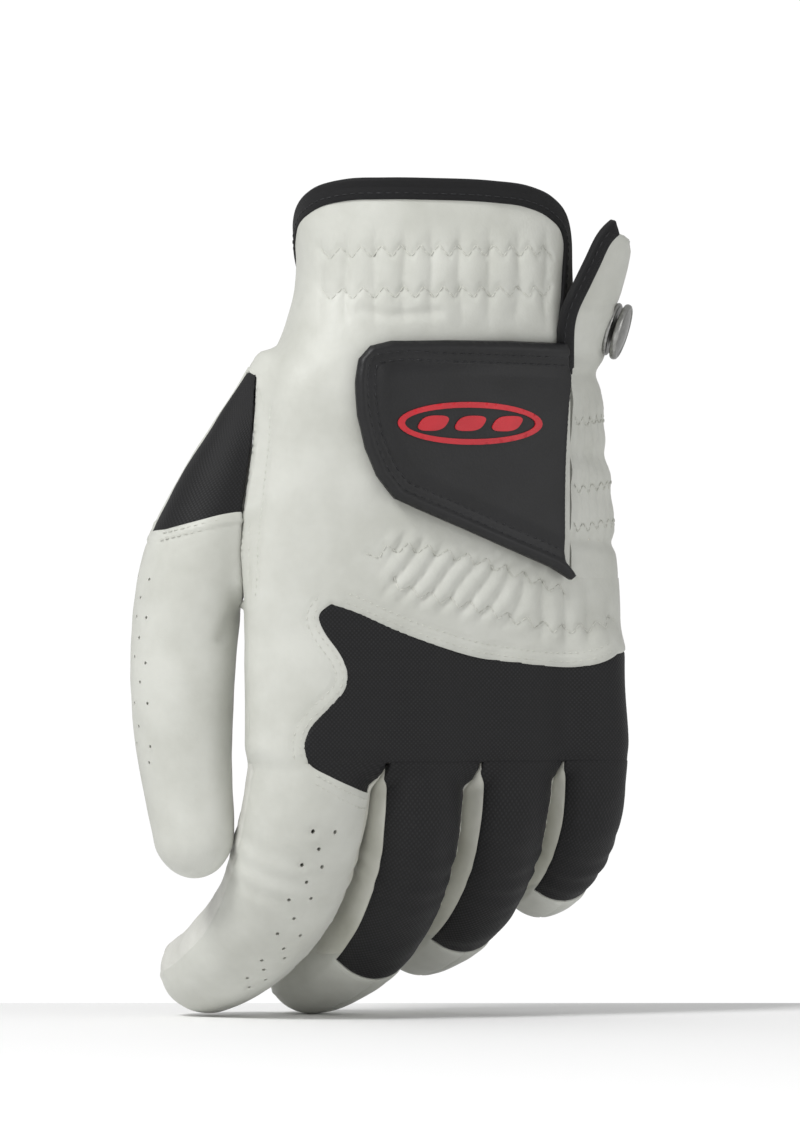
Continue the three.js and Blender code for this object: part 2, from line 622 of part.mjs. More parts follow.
// The tab: a loop patch on the hand, and the hook patch, lining, face and emblem that lift off it
function tabShape( inset, right ) {

	const shape = new THREE.Shape();
	const top = TAB.top - inset;
	const left = TAB.left + inset;
	shape.moveTo( right, top );
	shape.lineTo( left + TAB.corner, top );
	shape.quadraticCurveTo( left, top, left, top - TAB.corner );
	shape.lineTo( left, TAB.shoulderZ );
	shape.quadraticCurveTo( left + 1.5, TAB.toeZ + inset + 5, TAB.toeX + inset, TAB.toeZ + inset );
	shape.lineTo( right, TAB.tailZ + inset * 1.2 );
	return shape;

}

const tabLayer = ( from, thick, outline ) => {

	return handLayer( from, from + thick ).intersect( frontPrism( outline, 'front' ) );

};

add( 'loop_patch', tabLayer( TAB_LAYERS.loop, PATCH_THICK, square( - 15, - 43, 14, - 71 ) ), 'loop', 0.95 );
add( 'hook_patch', tabLayer( TAB_LAYERS.hook, PATCH_THICK, square( - 13, - 45, 10, - 69 ) ), 'hook', 0.95 );
add( 'tab_lining', tabLayer( TAB_LAYERS.lining, LINING_THICK, tabShape( 1, TAB.hingeX - 2 ) ), 'tab', 0.9 );
add( 'tab_face', tabLayer( TAB_LAYERS.face, LEATHER, tabShape( 0, TAB.hingeX ) ), 'tab', 0.65 );
const emblem = new THREE.Shape();
emblem.absellipse( 9.5, - 59, 11.5, 4.2, 0, 2 * Math.PI );
add( 'tab_emblem', tabLayer( TAB_LAYERS.emblem, EMBLEM_THICK, emblem ), 'emblem', 0.5 );

// The snap on the side panel and the ball marker that presses onto it
function disc( profile, start ) {

	const geometry = new THREE.LatheGeometry( profile.map( ( [ r, h ] ) => new THREE.Vector2( r, h ) ), 28 );
	const turn = new THREE.Quaternion().setFromUnitVectors( new THREE.Vector3( 0, 1, 0 ), SNAP.aim );
	geometry.applyQuaternion( turn );
	geometry.translate( SNAP.x, SNAP.y, SNAP.z );
	geometry.translate( ...SNAP.aim.clone().multiplyScalar( start ).toArray() );
	return solidOf( geometry );

}

const stud = disc( [ [ 0, 0 ], [ SNAP_R, 0 ], [ SNAP_R, 0.8 ], [ STUD_R, 0.8 ], [ STUD_R, 2.2 ], [ 0, 2.2 ] ], 0.5 );
const washer = disc( [ [ 0, 0 ], [ SNAP_R, 0 ], [ SNAP_R, 0.8 ], [ 0, 0.8 ] ], - LEATHER - 3.0 );
add( 'snap_base', stud, 'metal', 0.35, 1 );
add( 'snap_washer', washer, 'metal', 0.35, 1 );
const socket = STUD_R + GAP;
const bevel = 0.5;
const marker = [ [ 0, 1.7 ], [ socket, 1.7 ], [ socket, 0 ], [ MARKER_R - bevel, 0 ], [ MARKER_R, bevel ],
	[ MARKER_R, MARKER_THICK - bevel ], [ MARKER_R - bevel, MARKER_THICK ], [ 0, MARKER_THICK ] ];
add( 'ball_marker', disc( marker, 1.6 ), 'metal', 0.3, 1 );

// The knuckles: one body that carries the roots of all four fingers and hinges inside the hand
function knuckleForm( offset, above ) {

	const { left, right, deep, turn } = HAND.at( - 1 );
	const ball = deep - NESTING;
	const waist = ball * Math.sin( KNUCKLE_REACH ) + SHOULDER;
	const full = deep * Math.tan( KNUCKLE_REACH ) + BEND_ROOM / 2;
	const rings = [];
	for ( const x of [ - above, - above / 2, 0, waist / 2, waist ] ) {

		const nested = Math.sqrt( 1 - ( x / ball ) ** 2 );
		const trim = NESTING + ( 1 - nested ) * KNUCKLE_HALF;
		const size = { left: left + trim, right: right - trim, deep: ball * nested };
		rings.push( handRing( { z: KNUCKLE_Z - x, ...size, turn }, offset ) );

	}

	rings.push( handRing( { z: KNUCKLE_Z - full, left: left + 0.6, right: right - 0.4, deep, turn }, offset ) );
	rings.push( handRing( { z: KNUCKLE_Z - 13, left: left + 1, right: right, deep: deep - 0.6, turn }, offset ) );
	rings.push( handRing( { z: KNUCKLE_Z - 18, left: left + 4, right: right - 3, deep: deep - 4, turn }, offset ) );
	return loft( rings );

}

const ROOT_TOP = - 110; // height above every finger root
const ROOT_START = 13; // where the finger roots begin along their routes, below the knuckle hinge
const knuckleSleeve = joined( [ knuckleForm( 0, NEST_ABOVE ),
	...limbs.map( ( limb ) => rootForm( limb, ROOT_START, 0 ) ) ] );
const knuckleHollow = joined( [ knuckleForm( - LEATHER, NEST_ABOVE + 2 ),
	...limbs.map( ( limb ) => rootForm( limb, ROOT_START, - LEATHER, 3 ) ) ] );
const knuckleLeather = knuckleSleeve.subtract( knuckleHollow );
FINGERS.forEach( ( { name, route, mesh, across: [ from, to ] }, i ) => {

	const line = route.slice( 0, 5 ).map( ( [ , n, z ] ) => [ n, z ] );
	line[ 0 ] = [ line[ 0 ][ 0 ], ROOT_TOP ];
	const left = i === 0 ? from - 20 : from + GAP / 2;
	const right = i === FINGERS.length - 1 ? to + 20 : to - GAP / 2;
	const lowest = line.at( - 1 )[ 1 ];
	const backLine = line.toReversed().map( ( [ n, z ] ) => [ n - SPLIT, z ] );
	const palmLine = line.map( ( [ n, z ] ) => [ n + SPLIT, z ] );
	const back = sidePrism( [ [ - FAR, lowest ], ...backLine, [ - FAR, ROOT_TOP ] ], left, right );
	const palm = sidePrism( [ [ FAR, ROOT_TOP ], ...palmLine, [ FAR, lowest ] ], left, right );
	add( `${ name }_back_root`, knuckleLeather.intersect( back ), mesh ? 'mesh' : 'leather' );
	add( `${ name }_front_root`, knuckleLeather.intersect( palm ), 'leather' );

} );

// The finger ends: a back, a front and the narrow side walls between neighbouring fingers
const degrees = THREE.MathUtils.degToRad;
limbs.forEach( ( limb ) => {

	const { name, walls, mesh } = limb.finger;
	const backFrom = walls.includes( 'ulnar' ) ? 40 : 0;
	const backTo = walls.includes( 'radial' ) ? 140 : 180;
	const frontFrom = walls.includes( 'radial' ) ? 220 : 180;
	const frontTo = walls.includes( 'ulnar' ) ? 320 : 360;
	add( `${ name }_back`, endStrip( limb, degrees( backFrom ), degrees( backTo ) ), mesh ? 'mesh' : 'leather' );
	add( `${ name }_front`, endStrip( limb, degrees( frontFrom ), degrees( frontTo ) ), 'leather' );
	for ( const [ side, from, to ] of [ [ 'ulnar', - 40, 40 ], [ 'radial', 140, 220 ] ] ) {

		const wall = endStrip( limb, degrees( from ), degrees( to ) );
		if ( walls.includes( side ) ) add( `${ name }_wall_${ side }`, wall, 'wall' );

	}


} );

add( 'thumb_back', endStrip( thumb, degrees( 30 ), degrees( 210 ) ), 'leather' );
add( 'thumb_front', endStrip( thumb, degrees( 210 ), degrees( 390 ) ), 'leather' );

export default glove;
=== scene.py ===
import json
import math

import bpy
from mathutils import Matrix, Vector
import numpy as np
from mathutils.geometry import delaunay_2d_cdt


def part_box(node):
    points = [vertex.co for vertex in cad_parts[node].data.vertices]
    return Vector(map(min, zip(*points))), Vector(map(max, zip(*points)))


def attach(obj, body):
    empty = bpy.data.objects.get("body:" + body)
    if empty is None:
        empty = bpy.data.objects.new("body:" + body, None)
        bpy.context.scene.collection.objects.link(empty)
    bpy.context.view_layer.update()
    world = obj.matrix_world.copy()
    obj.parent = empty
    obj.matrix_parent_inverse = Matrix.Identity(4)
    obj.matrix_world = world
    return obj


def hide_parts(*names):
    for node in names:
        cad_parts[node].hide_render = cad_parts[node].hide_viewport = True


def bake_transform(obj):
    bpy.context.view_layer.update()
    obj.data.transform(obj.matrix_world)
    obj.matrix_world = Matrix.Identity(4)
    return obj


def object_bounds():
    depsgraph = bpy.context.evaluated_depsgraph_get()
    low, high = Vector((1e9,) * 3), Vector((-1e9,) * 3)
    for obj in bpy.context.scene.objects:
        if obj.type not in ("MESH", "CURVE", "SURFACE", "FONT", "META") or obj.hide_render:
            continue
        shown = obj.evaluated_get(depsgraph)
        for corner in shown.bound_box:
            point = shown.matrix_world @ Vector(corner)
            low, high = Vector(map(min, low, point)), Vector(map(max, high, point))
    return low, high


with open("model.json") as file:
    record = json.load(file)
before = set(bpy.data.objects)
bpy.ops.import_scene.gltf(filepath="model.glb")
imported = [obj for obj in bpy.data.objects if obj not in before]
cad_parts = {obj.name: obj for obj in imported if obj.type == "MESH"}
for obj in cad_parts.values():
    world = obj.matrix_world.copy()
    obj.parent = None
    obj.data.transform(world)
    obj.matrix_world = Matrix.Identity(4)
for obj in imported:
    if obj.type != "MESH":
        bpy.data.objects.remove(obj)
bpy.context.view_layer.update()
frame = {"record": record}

MM = 0.001
BEND_LENGTH = 8.0        # half the length over which leather turns at a hinge, mm

# ---------------------------------------------------------------- the hand's frame

TURN = math.radians(28)
ACROSS = np.array([math.cos(TURN), math.sin(TURN), 0.0])    # thumb side to little-finger side
INWARD = np.array([-math.sin(TURN), math.cos(TURN), 0.0])   # back of the hand to palm
UP = np.array([0.0, 0.0, 1.0])

JOINTS = {joint["name"]: joint for joint in frame["record"]["behaviour"]["joints"]}
KNUCKLE_Z = JOINTS["knuckle_bend"]["pos_m"][2] / MM
ROOT_Z = KNUCKLE_Z - 13.0        # where the hand's panels hand over to the finger panels


def place(s, n, z):
    """Points at s across the palm, n towards the palm and height z."""
    s, n, z = np.broadcast_arrays(s, n, z)
    return s[..., None] * ACROSS + n[..., None] * INWARD + z[..., None] * UP


def smooth_through(knots, values, at):
    """A cubic curve through the knots, whose slope at each is the mean of its neighbours'."""
    knots = np.asarray(knots, float)
    values = np.asarray(values, float)
    flat = values.ndim == 1
    values = values[:, None] if flat else values
    step = np.diff(knots)[:, None]
    slope = np.diff(values, axis=0) / step
    lean = np.empty_like(values)
    lean[0], lean[-1] = slope[0], slope[-1]
    lean[1:-1] = (slope[:-1] * step[1:] + slope[1:] * step[:-1]) / (step[1:] + step[:-1])
    at = np.clip(at, knots[0], knots[-1])
    i = np.clip(np.searchsorted(knots, at, side="right") - 1, 0, len(knots) - 2)
    h = step[i]
    t = ((at - knots[i]) / h[..., 0])[..., None]
    out = ((1 + 2 * t) * (1 - t) ** 2 * values[i] + t * (1 - t) ** 2 * h * lean[i]
           + t * t * (3 - 2 * t) * values[i + 1] + t * t * (t - 1) * h * lean[i + 1])
    return out[..., 0] if flat else out


def ramp(a, b, x):
    """0 before a and 1 after b, with a smooth rise between them."""
    t = np.clip((x - a) / (b - a), 0.0, 1.0)
    return t * t * (3 - 2 * t)


# ---------------------------------------------------------------- the hand's form

SQUARENESS = 2.3
# height, left and right edge seen from the front, half depth, turn in degrees
HAND = np.array([
    (10, -34.6, 35.0, 25.0, 15), (-8, -34.4, 35.0, 24.6, 15), (-22, -34.0, 36.0, 23.0, 15.5),
    (-35, -37.0, 40.0, 21.0, 21), (-46, -41.5, 42.5, 19.0, 27), (-65, -43.2, 44.0, 17.2, 28),
    (-85, -46.0, 45.8, 16.2, 28), (-105, -46.7, 47.4, 15.6, 28), (-130, -45.6, 46.9, 14.4, 28),
    (-160, -44.0, 45.0, 13.5, 28)], float)
SPREAD = np.array([
    (10, -34.0, 57.0, 25.0, 15), (-13, -34.0, 50.5, 24.0, 15), (-25, -35.0, 47.6, 22.5, 16),
    (-35, -37.0, 44.9, 21.0, 21)] + [tuple(row) for row in HAND[4:]], float)


def section_at(z, table=HAND):
    """Centre, half width, half depth and turn of the hand's section at height z."""
    left, right, deep, turn = smooth_through(-table[:, 0], table[:, 1:], -z).T
    turn = np.radians(turn)
    q = SQUARENESS / (SQUARENESS - 1)
    half = (right - left) / 2
    wide = (half ** q - (deep * np.sin(turn)) ** q) ** (1 / q) / np.cos(turn)
    return (left + right) / 2, wide, deep, turn


def signed_power(x, p):
    """The size of x raised to the power p, with the sign of x."""
    return np.sign(x) * np.abs(x) ** p


def ring_table():
    """Angle against distance round the hand's middle section, so a pattern can be in mm."""
    angle = np.linspace(0, 2 * np.pi, 1441)
    _, wide, deep, _ = (float(v[0]) for v in section_at(np.array([-95.0])))
    x = wide * signed_power(np.cos(angle), 2 / SQUARENESS)
    y = deep * signed_power(np.sin(angle), 2 / SQUARENESS)
    return angle, np.concatenate([[0], np.cumsum(np.hypot(np.diff(x), np.diff(y)))])


RING_ANGLE, RING_LENGTH = ring_table()
GIRTH = RING_LENGTH[-1]


def hand_surface(a, z, table=HAND):
    """The hand's section carried along its height: a is the distance round it from the
    little-finger side over the back. Gives the point and the outward direction."""
    angle = np.interp(np.mod(a, GIRTH), RING_LENGTH, RING_ANGLE)
    middle, wide, deep, turn = section_at(z, table)
    c, s = np.cos(angle), np.sin(angle)
    x, y = wide * signed_power(c, 2 / SQUARENESS), deep * signed_power(s, 2 / SQUARENESS)
    nx = signed_power(c, 2 - 2 / SQUARENESS) / wide
    ny = signed_power(s, 2 - 2 / SQUARENESS) / deep
    out = np.stack([np.cos(turn), np.sin(turn), 0 * turn], -1)
    back = np.stack([np.sin(turn), -np.cos(turn), 0 * turn], -1)
    point = x[:, None] * out + y[:, None] * back
    point[:, 0] += middle
    point[:, 2] = z
    facing = nx[:, None] * out + ny[:, None] * back
    return point, facing / np.linalg.norm(facing, axis=1, keepdims=True)


HAND_END = -138.0        # where the palm starts to round off between the fingers
HAND_ROUND = 12.0


def hand_field(p):
    """About the distance outside the hand's tube, whose lower end is rounded off."""
    middle, wide, deep, turn = section_at(p[:, 2])
    x, y = p[:, 0] - middle, p[:, 1]
    s = np.abs(x * np.cos(turn) + y * np.sin(turn)) / wide
    n = np.abs(-x * np.sin(turn) + y * np.cos(turn)) / deep
    m = SQUARENESS
    r = np.maximum((s ** m + n ** m) ** (1 / m), 1e-3)
    steep = np.hypot(s ** (m - 1) / wide, n ** (m - 1) / deep) * r ** (1 - m)
    low = np.maximum(0, (HAND_END - p[:, 2]) / HAND_ROUND)
    whole = np.hypot(r, low)
    return (whole - 1) / np.hypot(np.maximum(steep, 0.35 / deep) * r / whole, low / whole / HAND_ROUND)




class Stall:
    """A finger's tube: points [across, inward, z] on its middle line, and half width and half
    depth along it as [distance, wide, deep]. The last `cap` mm are rounded."""

    def __init__(self, name, route, sizes, cap):
        route = place(*np.array(route, float).T)
        chord = np.concatenate([[0], np.cumsum(np.linalg.norm(np.diff(route, axis=0), axis=1))])
        fine = smooth_through(chord, route, np.linspace(0, chord[-1], 600))
        run = np.concatenate([[0], np.cumsum(np.linalg.norm(np.diff(fine, axis=0), axis=1))])
        self.name, self.length, self.cap = name, run[-1], cap
        self.x = np.linspace(0, run[-1], 121)
        self.centre = np.stack([np.interp(self.x, run, fine[:, i]) for i in range(3)], -1)
        along = np.gradient(self.centre, self.x, axis=0)
        self.along = along / np.linalg.norm(along, axis=1, keepdims=True)
        self.sizes = np.array(sizes, float)
        self.level = float(np.interp(-ROOT_Z, -self.centre[:, 2], self.x))
        self.tip = self.length - cap
        self.end = self.tip + cap * math.pi / 2

    def size(self, x):
        """Half width and half depth at x, smoothly through the given sizes."""
        return smooth_through(self.sizes[:, 0], self.sizes[:, 1:], x).T

    def frame(self, x):
        """Centre, side and back directions at x; near the root the sections lie level."""
        centre = np.stack([np.interp(x, self.x, self.centre[:, i]) for i in range(3)], -1)
        along = np.stack([np.interp(x, self.x, self.along[:, i]) for i in range(3)], -1)
        level = ramp(self.level + 16, self.level + 2, x)[..., None]
        along = along * (1 - level) - UP * level
        along /= np.linalg.norm(along, axis=-1, keepdims=True)
        side = ACROSS - along * (along @ ACROSS)[..., None]
        side /= np.linalg.norm(side, axis=-1, keepdims=True)
        return centre, side, np.cross(along, side), along

    def field(self, p):
        """About the distance outside the tube, from the nearest point of the middle line."""
        stop = np.searchsorted(self.x, self.length - self.cap) + 1
        centre, along = self.centre[:stop], self.along[:stop]
        nearest = np.empty(len(p), int)
        for start in range(0, len(p), 20000):
            part = p[start:start + 20000]
            away = (part ** 2).sum(1)[:, None] - 2 * part @ centre.T + (centre ** 2).sum(1)
            nearest[start:start + 20000] = away.argmin(1)
        away = p - centre[nearest]
        t = (away * along[nearest]).sum(1)
        x = self.x[nearest] + t
        wide, deep = self.size(np.clip(x, 0, self.length))
        side = ACROSS - along[nearest] * (along[nearest] @ ACROSS)[:, None]
        side /= np.linalg.norm(side, axis=1, keepdims=True)
        s = (away * side).sum(1) / wide
        n = (away * np.cross(along[nearest], side)).sum(1) / deep
        over = np.where(nearest == stop - 1, np.maximum(t, 0), 0)
        over += np.where(nearest == 0, np.minimum(t, 0), 0)
        e = over / np.where(nearest == 0, min(self.cap, self.sizes[0, 1]), self.cap)
        r = np.sqrt(s * s + n * n + e * e) + 1e-6
        steep = np.sqrt((s / wide) ** 2 + (n / deep) ** 2 + (e / self.cap) ** 2) / r
        return (r - 1) / np.maximum(steep, 0.5 / wide)


def soft_union(a, b, k):
    """The smaller of two fields, with the corner where they cross rounded over a width k: a quadratic
    blend of the two by h, which runs from 0 to 1 as b rises past a."""
    h = np.clip(0.5 + 0.5 * (b - a) / k, 0, 1)
    return b + (a - b) * h - k * h * (1 - h)


FINGERS = {
    "index": Stall("index", [(-32.4, 0.5, -120), (-33.4, 2.2, -147), (-33.9, 9, -165), (-34.2, 20, -179),
                             (-35.6, 34.5, -189.5), (-37.6, 47.5, -195.5), (-40, 60, -199)],
                   [(0, 15.5, 12.5), (27, 16.2, 13.4), (46, 16.2, 13.2), (80, 14.2, 12.2), (110, 11.6, 10)], 11),
    "middle": Stall("middle", [(-7.0, -1, -120), (-5.6, -0.3, -149), (-4.6, 5.2, -166), (-4.0, 15.5, -179),
                               (-4.6, 29.5, -189.5), (-6.8, 44.5, -196), (-11, 60, -199.5)],
                    [(0, 13, 12.2), (29, 12.8, 13.2), (48, 12.4, 12.6), (82, 11.8, 11.6), (112, 10.2, 9.6)], 10),
    "ring": Stall("ring", [(18.6, -1.5, -120), (20, -0.5, -148), (21, 5.6, -163), (21.6, 15.6, -174.5),
                           (21.8, 29, -183), (21, 41, -188), (19.5, 54, -191)],
                  [(0, 12.6, 12), (28, 12.4, 12.8), (46, 11.9, 12), (75, 11.2, 10.8), (100, 9.6, 9)], 9.5),
    "little": Stall("little", [(40.6, -1.5, -118), (42.6, -1, -145), (44, 3.8, -157.5), (44.6, 11.5, -166.5),
                               (44.6, 21, -172.8), (44, 34, -176.5)],
                    [(0, 11.5, 11.6), (27, 11.4, 11.8), (40, 11, 11), (60, 10, 9.8), (75, 8.8, 8.4)], 8.5),
}
THUMB = Stall("thumb", [(-43, 6.5, -44), (-49.4, 9.5, -64), (-54.6, 12.5, -80), (-58.8, 15.4, -95),
                        (-60.6, 17, -110), (-61.0, 17.4, -130), (-60.2, 17.2, -145), (-58.9, 16, -158),
                        (-58.2, 15, -170.5)],
              [(0, 3.5, 3.5), (18, 8, 8), (35, 11.4, 11.4), (52, 13.3, 13.2), (73, 13.2, 13),
               (95, 12.2, 12), (112, 10.8, 10.4), (127, 9.2, 9)], 9.5)
BORDERS = {"index": (None, -18.4), "middle": (-18.4, 7.5), "ring": (7.5, 31.9), "little": (31.9, None)}
SEAM = np.array([(-43.6, -46), (-43.8, -52), (-44.6, -64), (-46.9, -80.5), (-47.6, -90),
                 (-46.6, -103)], float)


def form_field(p):
    """The whole glove's form: the hand softly joined to each finger and to the thumb."""
    field = hand_field(p)
    z = p[:, 2]
    for stall in FINGERS.values():
        field = soft_union(field, stall.field(p), 0.4 + 5.6 * ramp(-152, -138, z))
    return soft_union(field, THUMB.field(p), 0.6 + 5.0 * ramp(-112, -98, z))


def reach(origin, heading, start, rounds=9):
    """How far along each heading the form's surface lies, stepping by the field's value."""
    t = np.array(start, float)
    for _ in range(rounds):
        t = t - np.clip(form_field(origin + heading * t[:, None]), -3, 3)
        t = np.maximum(t, 0.5)
    return t


def seam_wall(z):
    """X of the thumb seam's plane at height z, for the stretch where the thumb leaves the hand."""
    return np.interp(-z, -SEAM[:, 1], SEAM[:, 0])


def hand_wrap(a, z, table=HAND):
    """The hand's outside at pattern place (a, z): out from its tube to the form's surface, and
    held to its own side of the thumb seam."""
    point, facing = hand_surface(a, z, table)
    if table is not HAND:
        return point
    origin = point - 6.0 * facing
    t = reach(origin, facing, np.full(len(a), 6.0))
    wall = (origin[:, 0] - seam_wall(z)) / np.maximum(-facing[:, 0], 1e-3)
    by_thumb = (z < -46) & (z > -103) & (facing[:, 0] < -1e-3)
    t = np.where(by_thumb, np.minimum(t, np.maximum(wall, 0.5)), t)
    return origin + facing * t[:, None]


def stall_wrap(stall, theta, x):
    """A finger's outside: out from its middle line at angle theta (0 little-finger side, 90 back),
    swinging over to straight ahead round the tip, and held between its neighbours' borders."""
    centre, side, back, along = stall.frame(np.minimum(x, stall.tip))
    wide, deep = stall.size(np.minimum(x, stall.tip))
    c, s = np.cos(np.radians(theta)), np.sin(np.radians(theta))
    heading = side * (wide * c)[:, None] + back * (deep * s)[:, None]
    heading /= np.linalg.norm(heading, axis=1, keepdims=True)
    over = np.clip((x - stall.tip) / stall.cap, 0, math.pi / 2)[:, None]
    heading = heading * np.cos(over) + along * np.sin(over)
    t = reach(centre, heading, 0.8 * np.minimum(wide, deep))
    if stall is THUMB:
        for _ in range(3):
            height = centre[:, 2] + heading[:, 2] * t
            room = seam_wall(height) - centre[:, 0]
            wall = np.where(heading[:, 0] > 1e-3, room / np.maximum(heading[:, 0], 1e-3), 99.0)
            held = np.where(room > 0, np.minimum(t, np.maximum(wall, 0)), t)
            past = (room <= 0) & (centre[:, 0] + heading[:, 0] * t > seam_wall(height))
            t = np.where(height > -103, np.where(past, 0.2, held), t)
        return centre + heading * t[:, None]
    for border, way in zip(BORDERS[stall.name], (-1, 1)):
        if border is not None:
            lean = heading @ ACROSS * way
            room = (border - centre @ ACROSS) * way - 0.15
            t = np.where(lean > 1e-3, np.minimum(t, room / np.maximum(lean, 1e-3)), t)
    return centre + heading * t[:, None]


class Skin:
    """A surface kept as a grid of points and outward directions over two pattern sizes, in mm."""

    def __init__(self, shape, u, v, turn_length):
        self.u, self.v, self.turn_length = u, v, turn_length
        grid_u, grid_v = np.meshgrid(u, v, indexing="ij")
        self.point = shape(grid_u.ravel(), grid_v.ravel()).reshape(len(u), len(v), 3)
        facing = np.cross(np.gradient(self.point, axis=0), np.gradient(self.point, axis=1))
        size = np.linalg.norm(facing, axis=2, keepdims=True)
        self.facing = facing / np.maximum(size, 1e-9)

    def at(self, p, facing=False):
        """Point, or outward direction, at pattern places p, between the four nearest grid points."""
        fu = np.clip((p[:, 0] - self.u[0]) / (self.u[1] - self.u[0]), 0, len(self.u) - 1.001)
        fv = np.clip((p[:, 1] - self.v[0]) / (self.v[1] - self.v[0]), 0, len(self.v) - 1.001)
        i, j = fu.astype(int), fv.astype(int)
        fu, fv = (fu - i)[:, None], (fv - j)[:, None]
        g = self.facing if facing else self.point
        return ((g[i, j] * (1 - fu) + g[i + 1, j] * fu) * (1 - fv)
                + (g[i, j + 1] * (1 - fu) + g[i + 1, j + 1] * fu) * fv)

    def from_front(self, front, rise=0.0):
        """Pattern places of points given as X and Z seen from the front: the nearest grid place
        that faces the front, then one step of linear correction."""
        front = np.atleast_2d(np.asarray(front, float))
        lifted = self.point + rise * self.facing
        once = self.u < self.u[0] + self.turn_length - 1.0
        seen = np.where((self.facing[..., 1] < 0.05) & once[:, None], 0.0, 1e6)
        flat = lifted[..., ::2].reshape(-1, 2)
        cost = ((flat[None] - front[:, None]) ** 2).sum(2) + seen.ravel()
        i, j = np.divmod(cost.argmin(1), len(self.v))
        i, j = np.clip(i, 1, len(self.u) - 2), np.clip(j, 1, len(self.v) - 2)
        across = (lifted[i + 1, j] - lifted[i - 1, j])[:, ::2] / (self.u[2] - self.u[0])
        down = (lifted[i, j + 1] - lifted[i, j - 1])[:, ::2] / (self.v[2] - self.v[0])
        miss = front - lifted[i, j][:, ::2]
        det = across[:, 0] * down[:, 1] - across[:, 1] * down[:, 0]
        det = np.where(np.abs(det) < 0.15, np.inf, det)
        du = (miss[:, 0] * down[:, 1] - miss[:, 1] * down[:, 0]) / det
        dv = (across[:, 0] * miss[:, 1] - across[:, 1] * miss[:, 0]) / det
        limit_u, limit_v = self.u[1] - self.u[0], abs(self.v[1] - self.v[0])
        return np.stack([self.u[i] + np.clip(du, -limit_u, limit_u),
                         self.v[j] + np.clip(dv, -limit_v, limit_v)], -1)


ROUND = 12.0             # pattern mm to a radian round a finger or the thumb
ULNAR_SEAM = -12.0       # where the back's panels end round the little-finger side, mm round the hand
RADIAL_SEAM = GIRTH / 2 + 6.0


def finger_skin(stall):
    """A finger's or the thumb's skin over (mm round it, mm down it)."""
    start = stall.level - 3.0 if stall is not THUMB else 0.0
    u = np.linspace(math.radians(-60), math.radians(458), 190) * ROUND
    v = np.linspace(start, stall.end, int((stall.end - start) / 0.9))
    return Skin(lambda a, x: stall_wrap(stall, np.degrees(a / ROUND), x), u, v, 2 * math.pi * ROUND)


HAND_U = np.arange(-40.0, GIRTH + 2.0, 0.9)
HAND_V = np.arange(2.6, ROOT_Z - 1.0, -0.9)
hand_skin = Skin(hand_wrap, HAND_U, HAND_V, GIRTH)
hand_skin.facing *= -1 if hand_skin.facing[60, 60, 1] > 0 else 1
side_skin = Skin(lambda a, z: hand_wrap(a, z, SPREAD), np.arange(-40.0, 60.0, 0.9), HAND_V, GIRTH)
side_skin.facing *= -1 if side_skin.facing[90, 60, 1] > 0 else 1
# the palm's skin leaves the hand's tube for the spread one on the little-finger side
palm_skin = Skin(lambda a, z: hand_surface(a, z, HAND)[0], HAND_U, HAND_V, GIRTH)
over_u = ramp(GIRTH * 0.62, GIRTH * 0.84, HAND_U)[:, None, None]
spread = hand_surface(*(g.ravel() for g in np.meshgrid(HAND_U, HAND_V, indexing="ij")), SPREAD)[0]
shift = spread.reshape(palm_skin.point.shape) - palm_skin.point
palm_skin.point = hand_skin.point + over_u * shift
palm_skin.facing = hand_skin.facing
finger_skins = {name: finger_skin(stall) for name, stall in FINGERS.items()}
thumb_skin = finger_skin(THUMB)
for skin in [*finger_skins.values(), thumb_skin]:
    middle = skin.facing[int((math.radians(90 + 60) * ROUND) / (skin.u[1] - skin.u[0])), 40]
    skin.facing *= -1 if middle[1] > 0 else 1


# ---------------------------------------------------------------- cutting and sewing

def spaced(loop, spacing):
    """The closed outline with its corners kept and points no farther apart than the spacing."""
    after = np.roll(loop, -1, axis=0)
    count = np.maximum(1, np.ceil(np.linalg.norm(after - loop, axis=1) / spacing)).astype(int)
    which = np.repeat(np.arange(len(loop)), count)
    step = np.arange(count.sum()) - np.repeat(np.cumsum(count) - count, count)
    return loop[which] + (after - loop)[which] * (step / count[which])[:, None]


def inside(points, loop):
    """True where a point lies inside the loop, by counting the edges to its right."""
    a, b = loop, np.roll(loop, -1, axis=0)
    rise = np.where(b[:, 1] == a[:, 1], 1e-12, b[:, 1] - a[:, 1])
    out = np.zeros(len(points), bool)
    for start in range(0, len(points), 6000):
        x, y = points[start:start + 6000, 0:1], points[start:start + 6000, 1:2]
        straddles = (a[:, 1] > y) != (b[:, 1] > y)
        right = x < a[:, 0] + (y - a[:, 1]) * (b[:, 0] - a[:, 0]) / rise
        out[start:start + 6000] = (straddles & right).sum(1) % 2 == 1
    return out


def gap_to(points, path):
    """Distance from each point to an open path."""
    a, run = path[:-1], np.diff(path, axis=0)
    least = np.full(len(points), 1e9)
    for start in range(0, len(points), 8000):
        p = points[start:start + 8000, None]
        t = np.clip(((p - a) * run).sum(2) / np.maximum((run ** 2).sum(1), 1e-12), 0, 1)
        away = p - a - run * t[..., None]
        least[start:start + 8000] = np.sqrt((away ** 2).sum(2).min(1))
    return least


def curve_through(points, spacing=1.0, closed=False):
    """A smooth path through the points, with its points about the spacing apart."""
    points = np.asarray(points, float)
    if closed:
        points = np.vstack([points[-1], points, points[0], points[1]])
    run = np.concatenate([[0], np.cumsum(np.linalg.norm(np.diff(points, axis=0), axis=1))])
    low, high = (run[1], run[-2]) if closed else (0.0, run[-1])
    at = np.linspace(low, high, max(3, int((high - low) / spacing) + 1))
    path = smooth_through(run, points, at)
    return path[:-1] if closed else path


